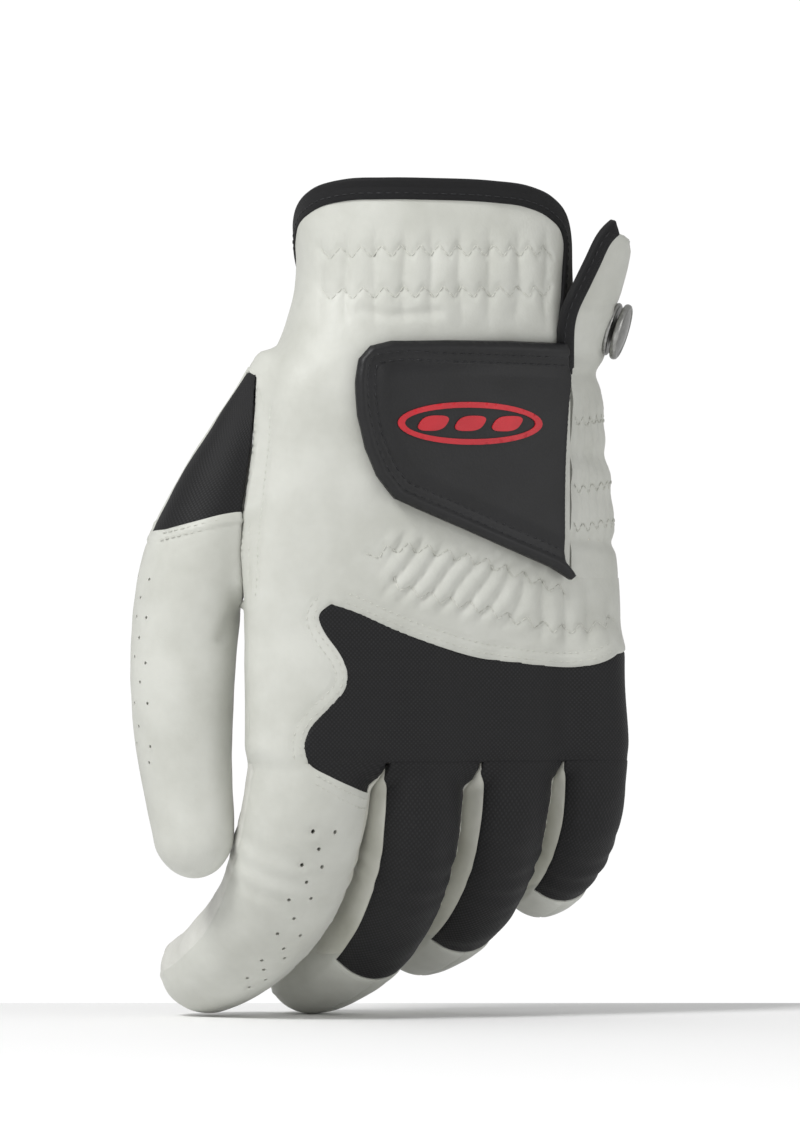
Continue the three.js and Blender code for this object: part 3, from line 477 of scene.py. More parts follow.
def aside(path, distance):
    """The path moved sideways in its pattern, to the left of its direction."""
    run = np.gradient(path, axis=0)
    run /= np.maximum(np.linalg.norm(run, axis=1, keepdims=True), 1e-9)
    return path + np.stack([-run[:, 1], run[:, 0]], -1) * distance


def cut_pattern(outline, spacing, holes=()):
    """Triangles of a flat piece: its outline and holes, with staggered rows of points between."""
    loops = [spaced(np.asarray(outline, float), spacing)] + [np.asarray(h, float) for h in holes]
    edge = np.concatenate(loops)
    low, high = loops[0].min(0), loops[0].max(0)
    rows = np.arange(low[1], high[1], spacing * 0.866)
    columns = np.arange(low[0], high[0] + spacing, spacing)
    x = columns[None] + (np.arange(len(rows)) % 2)[:, None] * spacing / 2
    points = np.stack([x.ravel(), np.repeat(rows, len(columns))], -1)
    points = points[inside(points, loops[0])]
    near = np.empty(len(points))
    for start in range(0, len(points), 6000):
        part = points[start:start + 6000, None] - edge[None]
        near[start:start + 6000] = (part ** 2).sum(2).min(1)
    points = points[near > (0.6 * spacing) ** 2]
    for hole in loops[1:]:
        points = points[~inside(points, hole)]
    links, first = [], 0
    for loop in loops:
        ids = np.arange(len(loop)) + first
        links += np.stack([ids, np.roll(ids, -1)], -1).tolist()
        first += len(loop)
    got = delaunay_2d_cdt(np.concatenate([edge, points]).tolist(), links, [], 0, 1e-6, False)
    flat = np.array([tuple(v) for v in got[0]])
    faces = np.array([f for f in got[2] if len(f) == 3])
    middle = flat[faces].mean(1)
    keep = inside(middle, loops[0])
    for hole in loops[1:]:
        keep &= ~inside(middle, hole)
    faces = faces[keep]
    used, back = np.unique(faces, return_inverse=True)
    return flat[used], back.reshape(-1, 3)


def open_edges(faces):
    """The directed edges that only one triangle has."""
    edges = np.concatenate([faces[:, [0, 1]], faces[:, [1, 2]], faces[:, [2, 0]]])
    key = np.sort(edges, axis=1)
    _, first, count = np.unique(key, axis=0, return_index=True, return_counts=True)
    return edges[first[count == 1]]


def new_mesh(name, points, faces, materials, uv=None, second=None, smooth=True):
    """One object from points in mm and a list or array of faces; uv is per point, in metres."""
    mesh = bpy.data.meshes.new(name)
    faces = faces.tolist() if isinstance(faces, np.ndarray) else faces
    mesh.from_pydata((np.asarray(points) * MM).tolist(), [], faces)
    for material in materials:
        mesh.materials.append(material)
    if uv is not None:
        layer = mesh.uv_layers.new(name="pattern")
        corner = np.empty(len(mesh.loops), int)
        mesh.loops.foreach_get("vertex_index", corner)
        layer.data.foreach_set("uv", np.asarray(uv, float)[corner].ravel())
    if second is not None:
        mesh.polygons.foreach_set("material_index", second.astype(int))
    mesh.polygons.foreach_set("use_smooth", np.full(len(mesh.polygons), smooth))
    mesh.update()
    obj = bpy.data.objects.new(name, mesh)
    bpy.context.scene.collection.objects.link(obj)
    return obj


def sharpen(obj, edges):
    """Marks these edges sharp, so the leather's cut edge doesn't shade into its face."""
    mesh = obj.data
    ends = np.empty(len(mesh.edges) * 2, int)
    mesh.edges.foreach_get("vertices", ends)
    count = len(mesh.vertices)
    key = np.sort(ends.reshape(-1, 2), axis=1) @ [count, 1]
    wanted = np.sort(edges, axis=1) @ [count, 1]
    mark = mesh.attributes.new("sharp_edge", "BOOLEAN", "EDGE")
    mark.data.foreach_set("value", np.isin(key, wanted))


def sew_panel(name, outline, skin, materials, spacing=0.9, holes=(), thick=0.9, lift=0.0,
              relief=None, roll=0.35, rolled=None):
    """A piece of leather or cloth cut to its pattern and laid on the skin. Its outer face stands at
    lift + relief from the skin, sinks by roll within 0.8 mm of its rolled edges, and lies `thick`
    over its inner face. rolled tells which pattern places are on a rolled edge."""
    flat, faces = cut_pattern(outline, spacing, holes)
    base, facing = skin.at(flat), skin.at(flat, facing=True)
    facing = facing / np.maximum(np.linalg.norm(facing, axis=1, keepdims=True), 1e-9)
    p = base[faces]
    turned = (np.cross(p[:, 1] - p[:, 0], p[:, 2] - p[:, 0]) * facing[faces[:, 0]]).sum()
    faces = faces if turned > 0 else faces[:, ::-1]
    border = open_edges(faces)
    height = np.full(len(flat), float(lift))
    if relief is not None:
        height += relief(flat, base)
    if roll and rolled is not None:
        edge = flat[np.unique(border)]
        edge = edge[rolled(edge)]
        if len(edge):
            near = np.concatenate([np.sqrt(((flat[i:i + 4000, None] - edge) ** 2).sum(2).min(1))
                                   for i in range(0, len(flat), 4000)])
            height -= roll * (1 - np.clip(near / 0.8, 0, 1)) ** 2
    outer = base + facing * height[:, None]
    inner = base + facing * (np.minimum(height, lift) - thick)[:, None]
    n = len(flat)
    a, b = border[:, 0], border[:, 1]
    rim = np.stack([b, a, a + n, b + n], -1)
    obj = new_mesh(name, np.concatenate([outer, inner]),
                   faces.tolist() + (faces[:, ::-1] + n).tolist() + rim.tolist(),
                   materials, np.tile(flat * MM, (2, 1)),
                   np.repeat([0, 1, 0], [len(faces), len(faces), len(rim)]))
    sharpen(obj, np.concatenate([border, border + n]))
    return obj


def band(name, path, inward, outward, profile, material, closed=False):
    """A profile [in from the edge, out from the leather] carried along a path, in mm."""
    rows, m = len(path), len(profile)
    points = (path[:, None] + inward[:, None] * profile[None, :, 0:1]
              + outward[:, None] * profile[None, :, 1:2]).reshape(-1, 3)
    i, j = np.meshgrid(np.arange(rows if closed else rows - 1), np.arange(m), indexing="ij")
    after, beside = (i + 1) % rows, (j + 1) % m
    quads = np.stack([i * m + j, i * m + beside, after * m + beside, after * m + j], -1).reshape(-1, 4)
    faces = quads.tolist()
    if not closed:
        faces += [list(range(m))[::-1], [(rows - 1) * m + k for k in range(m)]]
    run = np.concatenate([[0], np.cumsum(np.linalg.norm(np.diff(path, axis=0), axis=1))])
    round_it = np.concatenate([[0], np.cumsum(np.linalg.norm(np.diff(profile, axis=0), axis=1))])
    uv = np.stack([np.repeat(run, m), np.tile(round_it, rows)], -1) * MM
    obj = new_mesh(name, points, faces, [material], uv)
    face_out(obj)
    return obj


def face_out(obj):
    """Turns a closed mesh's faces outwards if its enclosed volume comes out negative."""
    mesh = obj.data
    mesh.calc_loop_triangles()
    tris = np.empty(len(mesh.loop_triangles) * 3, int)
    mesh.loop_triangles.foreach_get("vertices", tris)
    points = np.empty(len(mesh.vertices) * 3)
    mesh.vertices.foreach_get("co", points)
    p = points.reshape(-1, 3)[tris.reshape(-1, 3)]
    if np.einsum("ij,ij->i", p[:, 0], np.cross(p[:, 1], p[:, 2])).sum() < 0:
        mesh.flip_normals()


def thread(name, start, end, out, radius, material):
    """Short stitches: each a six-sided bead from start to end, thin at its ends, bowed outwards."""
    along = end - start
    length = np.linalg.norm(along, axis=1, keepdims=True)
    along = along / np.maximum(length, 1e-9)
    side = np.cross(along, out)
    side /= np.maximum(np.linalg.norm(side, axis=1, keepdims=True), 1e-9)
    out = np.cross(side, along)
    place_along = np.array([0.0, 0.14, 0.5, 0.86, 1.0])
    thin = np.array([0.35, 0.9, 1.0, 0.9, 0.35]) * radius
    bow = np.array([-0.6, 0.1, 0.45, 0.1, -0.6]) * radius
    angle = np.arange(6) * math.pi / 3
    ring = (start[:, None, None] + along[:, None, None] * (length[:, None] * place_along[:, None])[:, :, None]
            + out[:, None, None] * (bow[:, None] + thin[:, None] * np.sin(angle))[None, :, :, None]
            + side[:, None, None] * (thin[:, None] * np.cos(angle))[None, :, :, None])
    count = len(start)
    base = (np.arange(count) * 30)[:, None, None]
    i, j = np.meshgrid(np.arange(4), np.arange(6), indexing="ij")
    quad = np.stack([i * 6 + j, i * 6 + (j + 1) % 6, (i + 1) * 6 + (j + 1) % 6, (i + 1) * 6 + j], -1)
    faces = (base + quad.reshape(1, 24, 4)).reshape(-1, 4).tolist()
    caps = base[:, 0] + np.arange(6)[None]
    faces += caps[:, ::-1].tolist() + (caps + 24).tolist()
    obj = new_mesh(name, ring.reshape(-1, 3), faces, [material])
    face_out(obj)
    return obj


def sewn_row(skin, path, pitch, stitch, lift, relief=None):
    """Starts, ends and outward directions of the stitches of one row along a pattern path."""
    fine = curve_through(path, 0.3) if len(path) > 2 else np.linspace(path[0], path[-1], 200)
    base, out = skin.at(fine), skin.at(fine, facing=True)
    out = out / np.maximum(np.linalg.norm(out, axis=1, keepdims=True), 1e-9)
    height = lift + (relief(fine, base) if relief is not None else 0.0)
    line = base + out * np.broadcast_to(height, len(fine))[:, None]
    run = np.concatenate([[0], np.cumsum(np.linalg.norm(np.diff(line, axis=0), axis=1))])
    first = np.arange(0.4, run[-1] - stitch, pitch)
    pick = lambda at, what: np.stack([np.interp(at, run, what[:, k]) for k in range(3)], -1)
    return pick(first, line), pick(first + stitch, line), pick(first + stitch / 2, out)


def zigzag(path, period, swing):
    """The corners of a zigzag along a pattern path."""
    fine = curve_through(path, 0.3)
    run = np.concatenate([[0], np.cumsum(np.linalg.norm(np.diff(fine, axis=0), axis=1))])
    at = np.arange(0, run[-1], period / 2)
    pick = lambda what: np.stack([np.interp(at, run, what[:, k]) for k in range(2)], -1)
    up = pick(aside(fine, swing)) - pick(fine)
    return pick(fine) + up * np.where(np.arange(len(at)) % 2, 1.0, -1.0)[:, None]


def zigzag_row(skin, corners, lift, relief=None):
    """Two stitches to each leg of a zigzag."""
    a, b = corners[:-1], corners[1:]
    starts, ends = [], []
    for low, high in ((0.04, 0.46), (0.54, 0.96)):
        starts.append(a + (b - a) * low)
        ends.append(a + (b - a) * high)
    flat_a, flat_b = np.concatenate(starts), np.concatenate(ends)
    found = []
    for flat in (flat_a, flat_b):
        base, out = skin.at(flat), skin.at(flat, facing=True)
        out = out / np.maximum(np.linalg.norm(out, axis=1, keepdims=True), 1e-9)
        height = lift + (relief(flat, base) if relief is not None else 0.0)
        found.append((base + out * np.broadcast_to(height, len(flat))[:, None], out))
    return found[0][0], found[1][0], found[0][1]


def sew(name, rows, radius, material):
    """One object of all the stitches in several rows."""
    starts, ends, outs = (np.concatenate(part) for part in zip(*rows))
    return thread(name, starts, ends, outs, radius, material)


WAVES = np.random.default_rng(7).normal(size=(9, 3))
WAVES /= np.linalg.norm(WAVES, axis=1, keepdims=True)
PHASES = np.random.default_rng(8).uniform(0, 6.28, 9)


def softness(base, size):
    """Slow random rise and fall of hand-sewn leather: nine sine waves in fixed random directions."""
    stretch = 2 * math.pi / (size * np.linspace(0.7, 1.6, 9))
    return np.sin(base @ WAVES.T * stretch + PHASES).mean(1) * 1.5


# ---------------------------------------------------------------- finishes

def colour(code):
    """A linear colour from an sRGB hex code."""
    parts = [int(code[i:i + 2], 16) / 255 for i in (1, 3, 5)]
    return [c / 12.92 if c <= 0.04045 else ((c + 0.055) / 1.055) ** 2.4 for c in parts] + [1.0]


def add(tree, kind, inputs=None, **settings):
    """Adds one node with its own settings, and values or other nodes' outputs for its inputs."""
    node = tree.nodes.new(kind)
    for key, value in settings.items():
        setattr(node, key, value)
    for key, value in (inputs or {}).items():
        if isinstance(value, bpy.types.NodeSocket):
            tree.links.new(value, node.inputs[key])
        else:
            node.inputs[key].default_value = value
    return node


def blank(name):
    """A new material, its node tree and its Principled shader."""
    material = bpy.data.materials.new(name)
    material.use_nodes = True
    return material, material.node_tree, material.node_tree.nodes["Principled BSDF"]


def ramp_stops(node, stops):
    """Sets a colour ramp's stops from [place, hex code]."""
    while len(node.color_ramp.elements) < len(stops):
        node.color_ramp.elements.new(0.5)
    for element, (at, code) in zip(node.color_ramp.elements, stops):
        element.position = at
        element.color = colour(code)
    return node


def sheepskin(name, light, dark, grain_mm, grain_depth, roughness):
    """Aluminium-tanned hair sheep, drum-finished: a soft, nearly matt white with slow clouding,
    fine pores, and short creases that catch the light."""
    material, tree, shader = blank(name)
    where = add(tree, "ShaderNodeTexCoord")
    cloud = add(tree, "ShaderNodeTexNoise", {"Vector": where.outputs["Object"], "Scale": 1 / 0.022,
                                             "Detail": 4.0, "Roughness": 0.6})
    tone = ramp_stops(add(tree, "ShaderNodeValToRGB", {"Fac": cloud.outputs["Fac"]}),
                      [(0.32, dark), (0.62, light)])
    pores = add(tree, "ShaderNodeTexVoronoi", {"Vector": where.outputs["UV"], "Scale": 1000 / grain_mm},
                feature="SMOOTH_F1")
    creases = add(tree, "ShaderNodeTexNoise", {"Vector": where.outputs["UV"], "Scale": 1000 / (grain_mm * 5),
                                               "Detail": 5.0, "Roughness": 0.65, "Distortion": 0.6})
    grain = add(tree, "ShaderNodeMath", {0: pores.outputs["Distance"], 1: 0.55}, operation="MULTIPLY")
    height = add(tree, "ShaderNodeMath", {0: grain.outputs[0], 1: creases.outputs["Fac"]}, operation="ADD")
    bump = add(tree, "ShaderNodeBump", {"Height": height.outputs[0], "Distance": grain_depth * MM,
                                        "Strength": 1.0})
    tree.links.new(tone.outputs["Color"], shader.inputs["Base Color"])
    tree.links.new(bump.outputs["Normal"], shader.inputs["Normal"])
    shader.inputs["Roughness"].default_value = roughness
    shader.inputs["IOR"].default_value = 1.48
    shader.inputs["Sheen Weight"].default_value = 0.08
    return material


def weave(name, raised, hollow, pitch_mm, depth_mm, roughness, sheen):
    """Knitted polyester: rows of small raised knots, set off by half a knot, with hollows between them.
    The colour carries painted light: the knots are painted lighter as a painted sheen, and the hollows darker as
    painted shade."""
    material, tree, shader = blank(name)
    where = add(tree, "ShaderNodeTexCoord")
    turned = add(tree, "ShaderNodeMapping",
                 {"Vector": where.outputs["UV"], "Rotation": (0, 0, math.pi / 4)})
    knots = add(tree, "ShaderNodeTexVoronoi", {"Vector": turned.outputs["Vector"],
                                               "Scale": 1000 / (pitch_mm * 0.7071), "Randomness": 0.0},
                voronoi_dimensions="2D")
    # painted light: the knots take the lighter colour as painted sheen, the hollows the darker as painted shade
    tone = ramp_stops(add(tree, "ShaderNodeValToRGB", {"Fac": knots.outputs["Distance"]}),
                      [(0.10, raised), (0.46, hollow)])
    bump = add(tree, "ShaderNodeBump", {"Height": knots.outputs["Distance"], "Distance": depth_mm * MM,
                                        "Strength": 1.0}, invert=True)
    tree.links.new(tone.outputs["Color"], shader.inputs["Base Color"])
    tree.links.new(bump.outputs["Normal"], shader.inputs["Normal"])
    shader.inputs["Roughness"].default_value = roughness
    shader.inputs["IOR"].default_value = 1.36
    shader.inputs["Sheen Weight"].default_value = sheen
    return material


def coated(name, light, dark, grain_mm, depth_mm, roughness):
    """Coated split-leather and twisted thread: one deep colour with a fine pebble and slight clouding."""
    material, tree, shader = blank(name)
    where = add(tree, "ShaderNodeTexCoord")
    pebble = add(tree, "ShaderNodeTexVoronoi",
                 {"Vector": where.outputs["Object"], "Scale": 1000 / grain_mm})
    cloud = add(tree, "ShaderNodeTexNoise", {"Vector": where.outputs["Object"], "Scale": 1 / 0.012,
                                             "Detail": 5.0, "Roughness": 0.6})
    tone = ramp_stops(add(tree, "ShaderNodeValToRGB", {"Fac": cloud.outputs["Fac"]}),
                      [(0.3, dark), (0.68, light)])
    bump = add(tree, "ShaderNodeBump", {"Height": pebble.outputs["Distance"], "Distance": depth_mm * MM,
                                        "Strength": 1.0})
    tree.links.new(tone.outputs["Color"], shader.inputs["Base Color"])
    tree.links.new(bump.outputs["Normal"], shader.inputs["Normal"])
    shader.inputs["Roughness"].default_value = roughness
    shader.inputs["IOR"].default_value = 1.45
    return material


def plated(name, light, dark, roughness):
    """Nickel-plated pressed steel: grey metal with faint turned rings of polish and handling marks."""
    material, tree, shader = blank(name)
    where = add(tree, "ShaderNodeTexCoord")
    marks = add(tree, "ShaderNodeTexNoise", {"Vector": where.outputs["Object"], "Scale": 1 / 0.0012,
                                             "Detail": 3.0})
    tone = ramp_stops(add(tree, "ShaderNodeValToRGB", {"Fac": marks.outputs["Fac"]}),
                      [(0.3, dark), (0.7, light)])
    rough = add(tree, "ShaderNodeMapRange", {"Value": marks.outputs["Fac"], "To Min": roughness - 0.06,
                                             "To Max": roughness + 0.1})
    tree.links.new(tone.outputs["Color"], shader.inputs["Base Color"])
    tree.links.new(rough.outputs["Result"], shader.inputs["Roughness"])
    shader.inputs["Metallic"].default_value = 1.0
    return material


cabretta = sheepskin("cabretta leather", "#C6C7C0", "#B8B9B1", 0.9, 0.05, 0.52)
grained = sheepskin("grained cabretta leather", "#CFCFC9", "#BEBEB7", 1.5, 0.16, 0.58)
# painted shade: the side walls between the fingers get a greyer, darker copy of the white leather, standing for
# the shade they lie in
shaded_wall_leather = sheepskin("wall leather with painted shade", "#C3C3BA", "#B0B0A5", 0.8, 0.07, 0.7)
suede = sheepskin("suede flesh side", "#CFCDC2", "#BDBAAD", 0.5, 0.12, 0.9)
# the woven finishes below paint their knots lighter as sheen and their hollows darker as shade
knit = weave("black knitted mesh", "#202022", "#0B0B0C", 1.1, 0.14, 0.6, 0.02)
tricot = weave("black tricot lining", "#2A2A2C", "#161617", 0.8, 0.08, 0.85, 0.2)
tab_skin = coated("black coated leather", "#151517", "#0F0F10", 0.7, 0.035, 0.5)
tape = weave("black binding tape", "#1D1D1F", "#0D0D0E", 0.55, 0.06, 0.75, 0.05)
white_thread = coated("white polyester thread", "#C9CAC2", "#B9BAB1", 0.3, 0.05, 0.5)
black_thread = coated("black polyester thread", "#232326", "#131315", 0.3, 0.05, 0.45)
elastic_tape = weave("white elastic tape", "#E2E0D8", "#B9B6AB", 0.9, 0.12, 0.8, 0.1)
hooks = weave("black hook tape", "#3A3A3C", "#0F0F10", 1.3, 0.5, 0.6, 0.2)
loops = weave("grey loop tape", "#D4D2CA", "#9C9A92", 0.9, 0.4, 0.95, 0.5)
red_print = coated("red raised print", "#C2242F", "#AE1C28", 0.5, 0.02, 0.4)
steel = plated("nickel-plated steel", "#A9A9A6", "#8A8A87", 0.3)


# ---------------------------------------------------------------- the hand's patterns

def front(points, skin=hand_skin, rise=0.0):
    """Pattern places of points given as X and Z in the front view, at a rise above the skin."""
    return skin.from_front(points, rise)


def eased(path, rounds=6):
    """The path with the small unevenness of its places averaged away; its ends stay."""
    path = path.copy()
    for _ in range(rounds):
        path[1:-1] = (path[:-2] + 2 * path[1:-1] + path[2:]) / 4
    return path


MESH_TOP = [(-24.9, -103.4), (-20, -105), (-15.5, -107), (-6.5, -111), (2.25, -114), (11.25, -116.75),
            (19.25, -118), (29.25, -119.25), (38, -119.25), (44.25, -117.75), (47, -116)]
MESH_SIDE = [(-30.6, -143), (-31.5, -138.25), (-29.75, -133.75), (-24.5, -128.5), (-20.9, -124),
             (-20.7, -120), (-22.75, -115.5), (-26.75, -110), (-28.2, -106), (-24.9, -103.4)]
mesh_top = np.vstack([eased(curve_through(front(MESH_TOP), 1.0)), [(ULNAR_SEAM, -113.5)]])
mesh_side = eased(curve_through(front(MESH_SIDE), 0.8))
mesh_side[0, 1] = ROOT_Z
CUFF_EDGE = [(34.4, -34), (34.5, -20), (34.4, -12.5), (33.4, -7.3), (30.0, -3.0), (24.8, -0.6), (15, 0.7),
             (0, 1.2), (-12, 1.3), (-22.5, 0.9), (-29.5, -0.9), (-32.8, -3.6)]
cuff_edge = curve_through(front(CUFF_EDGE), 1.0)
slit_edge = front([(34.5, z) for z in np.linspace(-97, -37, 16)])
PALM_RIM = [(RADIAL_SEAM, -12), (127, -17), (133, -24.5), (141, -31.5), (151, -36), (166, -38.2),
            (186, -38.6), (204, -38.4), (GIRTH + ULNAR_SEAM, -38.4)]
palm_rim = curve_through(PALM_RIM, 1.0)
cuff_left = curve_through([cuff_edge[-1], (116.6, -5.9), (119.0, -8.8), PALM_RIM[0]], 1.0)
radial_edge = np.array([(RADIAL_SEAM, -12), (RADIAL_SEAM, -42), (GIRTH / 2 + 2, -48),
                        (GIRTH / 2, -54), (GIRTH / 2, ROOT_Z)])

WRIST_ROWS = [[(-28, -16.6), (-10, -16.0), (10, -15.8), (30.4, -15.6)],
              [(-28, -26.6), (-10, -26.2), (10, -26.0), (30.4, -25.6)]]
FAN_ROWS = [[(-16, -92), (-10.5, -89.8), (-1, -89.9), (5, -91.3), (11.25, -92.6), (17.25, -94.5),
             (23.25, -96.6), (29, -99), (36, -100.5)],
            [(-10, -97.6), (-6, -99.9), (-0.25, -101.6), (5.25, -103), (13.25, -104.9), (19.75, -107),
             (25.75, -108.4), (31, -109.6), (37.25, -109.6), (42.75, -108.6), (46.6, -106)]]
wrist_zigzags = [zigzag(front(row), 7.0, 1.5) for row in WRIST_ROWS]
fan_zigzags = [zigzag(front(row), 5.6, 1.3) for row in FAN_ROWS]
border_rows = [aside(mesh_top[:-1], side)[3:] for side in (1.5, 3.7)]
side_rows = [aside(mesh_side, side)[2:-2] for side in (1.3, 3.1)]
SEAM_STITCH = [[(-40.3, -54.5), (-40.3, -59), (-41.2, -68.8), (-42.5, -80.8), (-43.2, -87.8),
                (-43.6, -97.5), (-44, -102)], [(-45.2, -83), (-45.4, -92.5), (-45.4, -99.8)]]
seam_rows = [curve_through(front(row), 1.0) for row in SEAM_STITCH]
if (border_rows[0][10] - mesh_top[13])[1] < 0:
    border_rows = [aside(mesh_top[:-1], -side)[3:] for side in (1.5, 3.7)]
if (side_rows[0][10] - mesh_side[12])[0] < 0:
    side_rows = [aside(mesh_side, -side)[2:-2] for side in (1.3, 3.1)]
fan_paths = [front(row) for row in FAN_ROWS]


def back_relief(flat, base):
    """The back's rise and fall: gathers over the two elastics, seams, stitch grooves and soft folds."""
    x, z = base[:, 0], base[:, 2]
    rise = 0.30 * softness(base, 30) + 0.10 * softness(base, 9)
    seen = ramp(-4, 6, flat[:, 0]) * ramp(GIRTH / 2 + 4, GIRTH / 2 - 6, flat[:, 0])
    wander = softness(base, 16)
    wrist = ramp(-37, -27, z) * ramp(-8.5, -15.5, z) * ramp(-31, -25, x) * ramp(33, 28, x) * seen
    gather = np.abs(np.sin(math.pi * (x + 0.7 * wander) / 7.0)) ** 0.8
    rise += wrist * (0.95 * (gather - 0.55) + 0.35 * np.exp(-((z + 21) / 3.6) ** 2))
    upper, lower = gap_to(flat, fan_paths[0]), gap_to(flat, fan_paths[1])
    fan = ramp(21, 12, upper + lower) * ramp(-15, -8, x) * seen * ramp(-80, -88, z)
    lean = 0.75 * ramp(32, 8, x)
    pleat = np.abs(np.sin(math.pi * (x - lean * (z + 100) + 0.8 * wander) / 5.6)) ** 0.8
    rise += fan * 1.0 * (pleat - 0.5)
    for row in wrist_zigzags + fan_zigzags:
        near = gap_to(flat, row)
        rise -= 0.38 * np.exp(-(near / 0.75) ** 2)
    for row in border_rows + side_rows + seam_rows:
        near = gap_to(flat, row)
        rise += -0.30 * np.exp(-(near / 0.5) ** 2)
    rise += 0.30 * np.exp(-(gap_to(flat, aside(mesh_top[:-1], 2.6 if border_rows[0][10, 1] > mesh_top[13, 1]
                                                else -2.6)) / 1.0) ** 2)
    crease = gap_to(flat, front([(-44.9, -80), (-47, -89), (-46.8, -96), (-46, -104)]))
    rise += 0.8 * np.exp(-(crease / 1.6) ** 2) * seen
    rise -= 0.5 * np.exp(-(gap_to(flat, front([(-18, -30.5), (-10, -32), (2, -31)])) / 1.3) ** 2)
    fold = front([(-30, -34), (-20, -43), (-19, -58), (-16, -72)])
    rise += 0.5 * np.exp(-(gap_to(flat, fold) / 5.0) ** 2)
    return rise * ramp(ROOT_Z, ROOT_Z + 4, z)


def side_relief(flat, base):
    """The side panel's folds across its edge, and gathers between its zigzag rows."""
    x, z = base[:, 0], base[:, 2]
    rise = 0.25 * softness(base, 14) + 0.12 * softness(base, 6)
    for level, deep, wide in ((-45.4, 1.3, 2.4), (-53, -0.5, 3.0), (-65.6, 0.9, 2.8), (-71, -0.4, 2.5),
                              (-80, -0.3, 2.5), (-87.4, 1.1, 2.0), (-28.5, 0.5, 1.2)):
        rise -= deep * np.exp(-((z - level + 0.12 * (x - 40)) / wide) ** 2)
    rows = ramp(-90, -84, z) * ramp(-48, -56, z)
    rise += rows * 0.5 * (np.abs(np.sin(math.pi * (flat[:, 0] + 0.6 * softness(base, 9)) / 3.4)) - 0.6)
    return rise


def palm_relief(flat, base):
    """The palm's broad folds: it hangs slack, with creases across it where the hand bends."""
    z = base[:, 2]
    rise = 0.7 * softness(base, 34) + 0.22 * softness(base, 11)
    for level, deep, tilt in ((-70, 0.6, 0.25), (-98, 0.8, -0.2), (-122, 0.7, 0.1)):
        rise -= deep * np.exp(-((z - level - tilt * base[:, 0]) / 2.2) ** 2)
    fade = np.minimum(ramp(RADIAL_SEAM, RADIAL_SEAM + 10, flat[:, 0]),
                      ramp(GIRTH + ULNAR_SEAM, GIRTH + ULNAR_SEAM - 8, flat[:, 0]))
    return rise * fade * ramp(ROOT_Z, ROOT_Z + 5, z)


def limb_relief(amount, size):
    """A finger's slight unevenness."""
    return lambda flat, base: amount * softness(base, size) + 0.3 * amount * softness(base, size * 0.35)


back_outline = np.vstack([
    slit_edge, cuff_edge, cuff_left[1:-1], radial_edge,
    mesh_side, mesh_top[1:], [(ULNAR_SEAM, -97)]])


def back_rolled(p):
    """Whether a place lies on the leather's turned edge round the mesh."""
    return (gap_to(p, mesh_top) < 0.3) | (gap_to(p, mesh_side) < 0.3)


back_panel = sew_panel("back_of_hand_leather", back_outline, hand_skin, [cabretta, suede], 0.85,
                       relief=back_relief, roll=0.55, rolled=back_rolled, thick=0.9)


def belongs(obj, nodes=(), body=None, bend=None):
    """Hides the CAD nodes a piece stands for; attaches it to its body's empty, or with a bend only bakes in its
    transform.
    """
    if nodes:
        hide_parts(*nodes)
    if bend is None:
        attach(obj, body)
    else:
        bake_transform(obj)


KNUCKLE_BEND = ("hand", "knuckles", (0, 0, (KNUCKLE_Z + 9) * MM), (0, 0, (KNUCKLE_Z - 9) * MM))
TAB_BEND = ("hand", "tab", (0.0355, -0.0036, -0.066), (0.0315, -0.0036, -0.066))


def limb_bend(joint, stall, first, second):
    """The stretch of leather that turns at a finger's or the thumb's hinge."""
    hinge = np.array(JOINTS[joint]["pos_m"]) / MM
    near = ((stall.centre - hinge) ** 2).sum(1).argmin()
    along = stall.along[near] * BEND_LENGTH
    return first, second, (hinge - along) * MM, (hinge + along) * MM


belongs(back_panel, ["back_panel"], bend=KNUCKLE_BEND)

mesh_border = np.vstack([mesh_side[:-1], mesh_top])
mesh_visible = np.vstack([mesh_border, [(ULNAR_SEAM, ROOT_Z - 5)], [(mesh_side[0, 0], ROOT_Z - 5)]])
top_out = aside(mesh_top[:-1], 3.0)
top_out = top_out if top_out[20, 1] > mesh_top[20, 1] else aside(mesh_top[:-1], -3.0)
side_out = aside(mesh_side, 3.0)
side_out = side_out if side_out[12, 0] > mesh_side[12, 0] else aside(mesh_side, -3.0)
side_out[0, 1] = ROOT_Z


def mesh_relief(flat, base):
    """The knit's gentle swells; where it runs under the leather it sinks by the leather's thickness."""
    under = ~inside(flat, mesh_visible)
    sink = 0.55 * np.clip(gap_to(flat, mesh_border) / 0.8, 0, 1) * under
    return 0.3 * softness(base, 22) * ramp(ROOT_Z, ROOT_Z + 5, base[:, 2]) - sink


knuckle_mesh = sew_panel(
    "knuckle_mesh_piece", np.vstack([side_out[:-4], top_out[5:], [(ULNAR_SEAM, -110.5), (ULNAR_SEAM, ROOT_Z)]]),
    hand_skin, [knit, tricot], 0.95, lift=-0.45, relief=mesh_relief, thick=0.7)
belongs(knuckle_mesh, ["knuckle_mesh"], bend=KNUCKLE_BEND)

FLAP_EDGE = [(34.6, -36), (35.6, -31), (38.3, -25.2), (41.4, -18.8), (44.6, -12.4), (46.3, -10.9)]
side_slit = side_skin.from_front([(34.9, z) for z in np.linspace(-97, -40, 14)])
flap_edge = curve_through(side_skin.from_front(FLAP_EDGE), 1.0)
flap_tip = curve_through([flap_edge[-1], side_skin.from_front([(49.2, -12.2)])[0], (2.0, -17), (-4.5, -25),
                          (-9, -32), (ULNAR_SEAM, -38.4)], 1.0)
side_outline = np.vstack([side_slit, flap_edge, flap_tip[1:], [(ULNAR_SEAM, -97)]])
side_panel = sew_panel("side_panel_leather", side_outline, side_skin, [cabretta, suede], 0.85,
                       relief=side_relief, roll=0.4, rolled=lambda p: gap_to(p, flap_tip) < 0.3)
belongs(side_panel, ["side_panel"], body="hand")

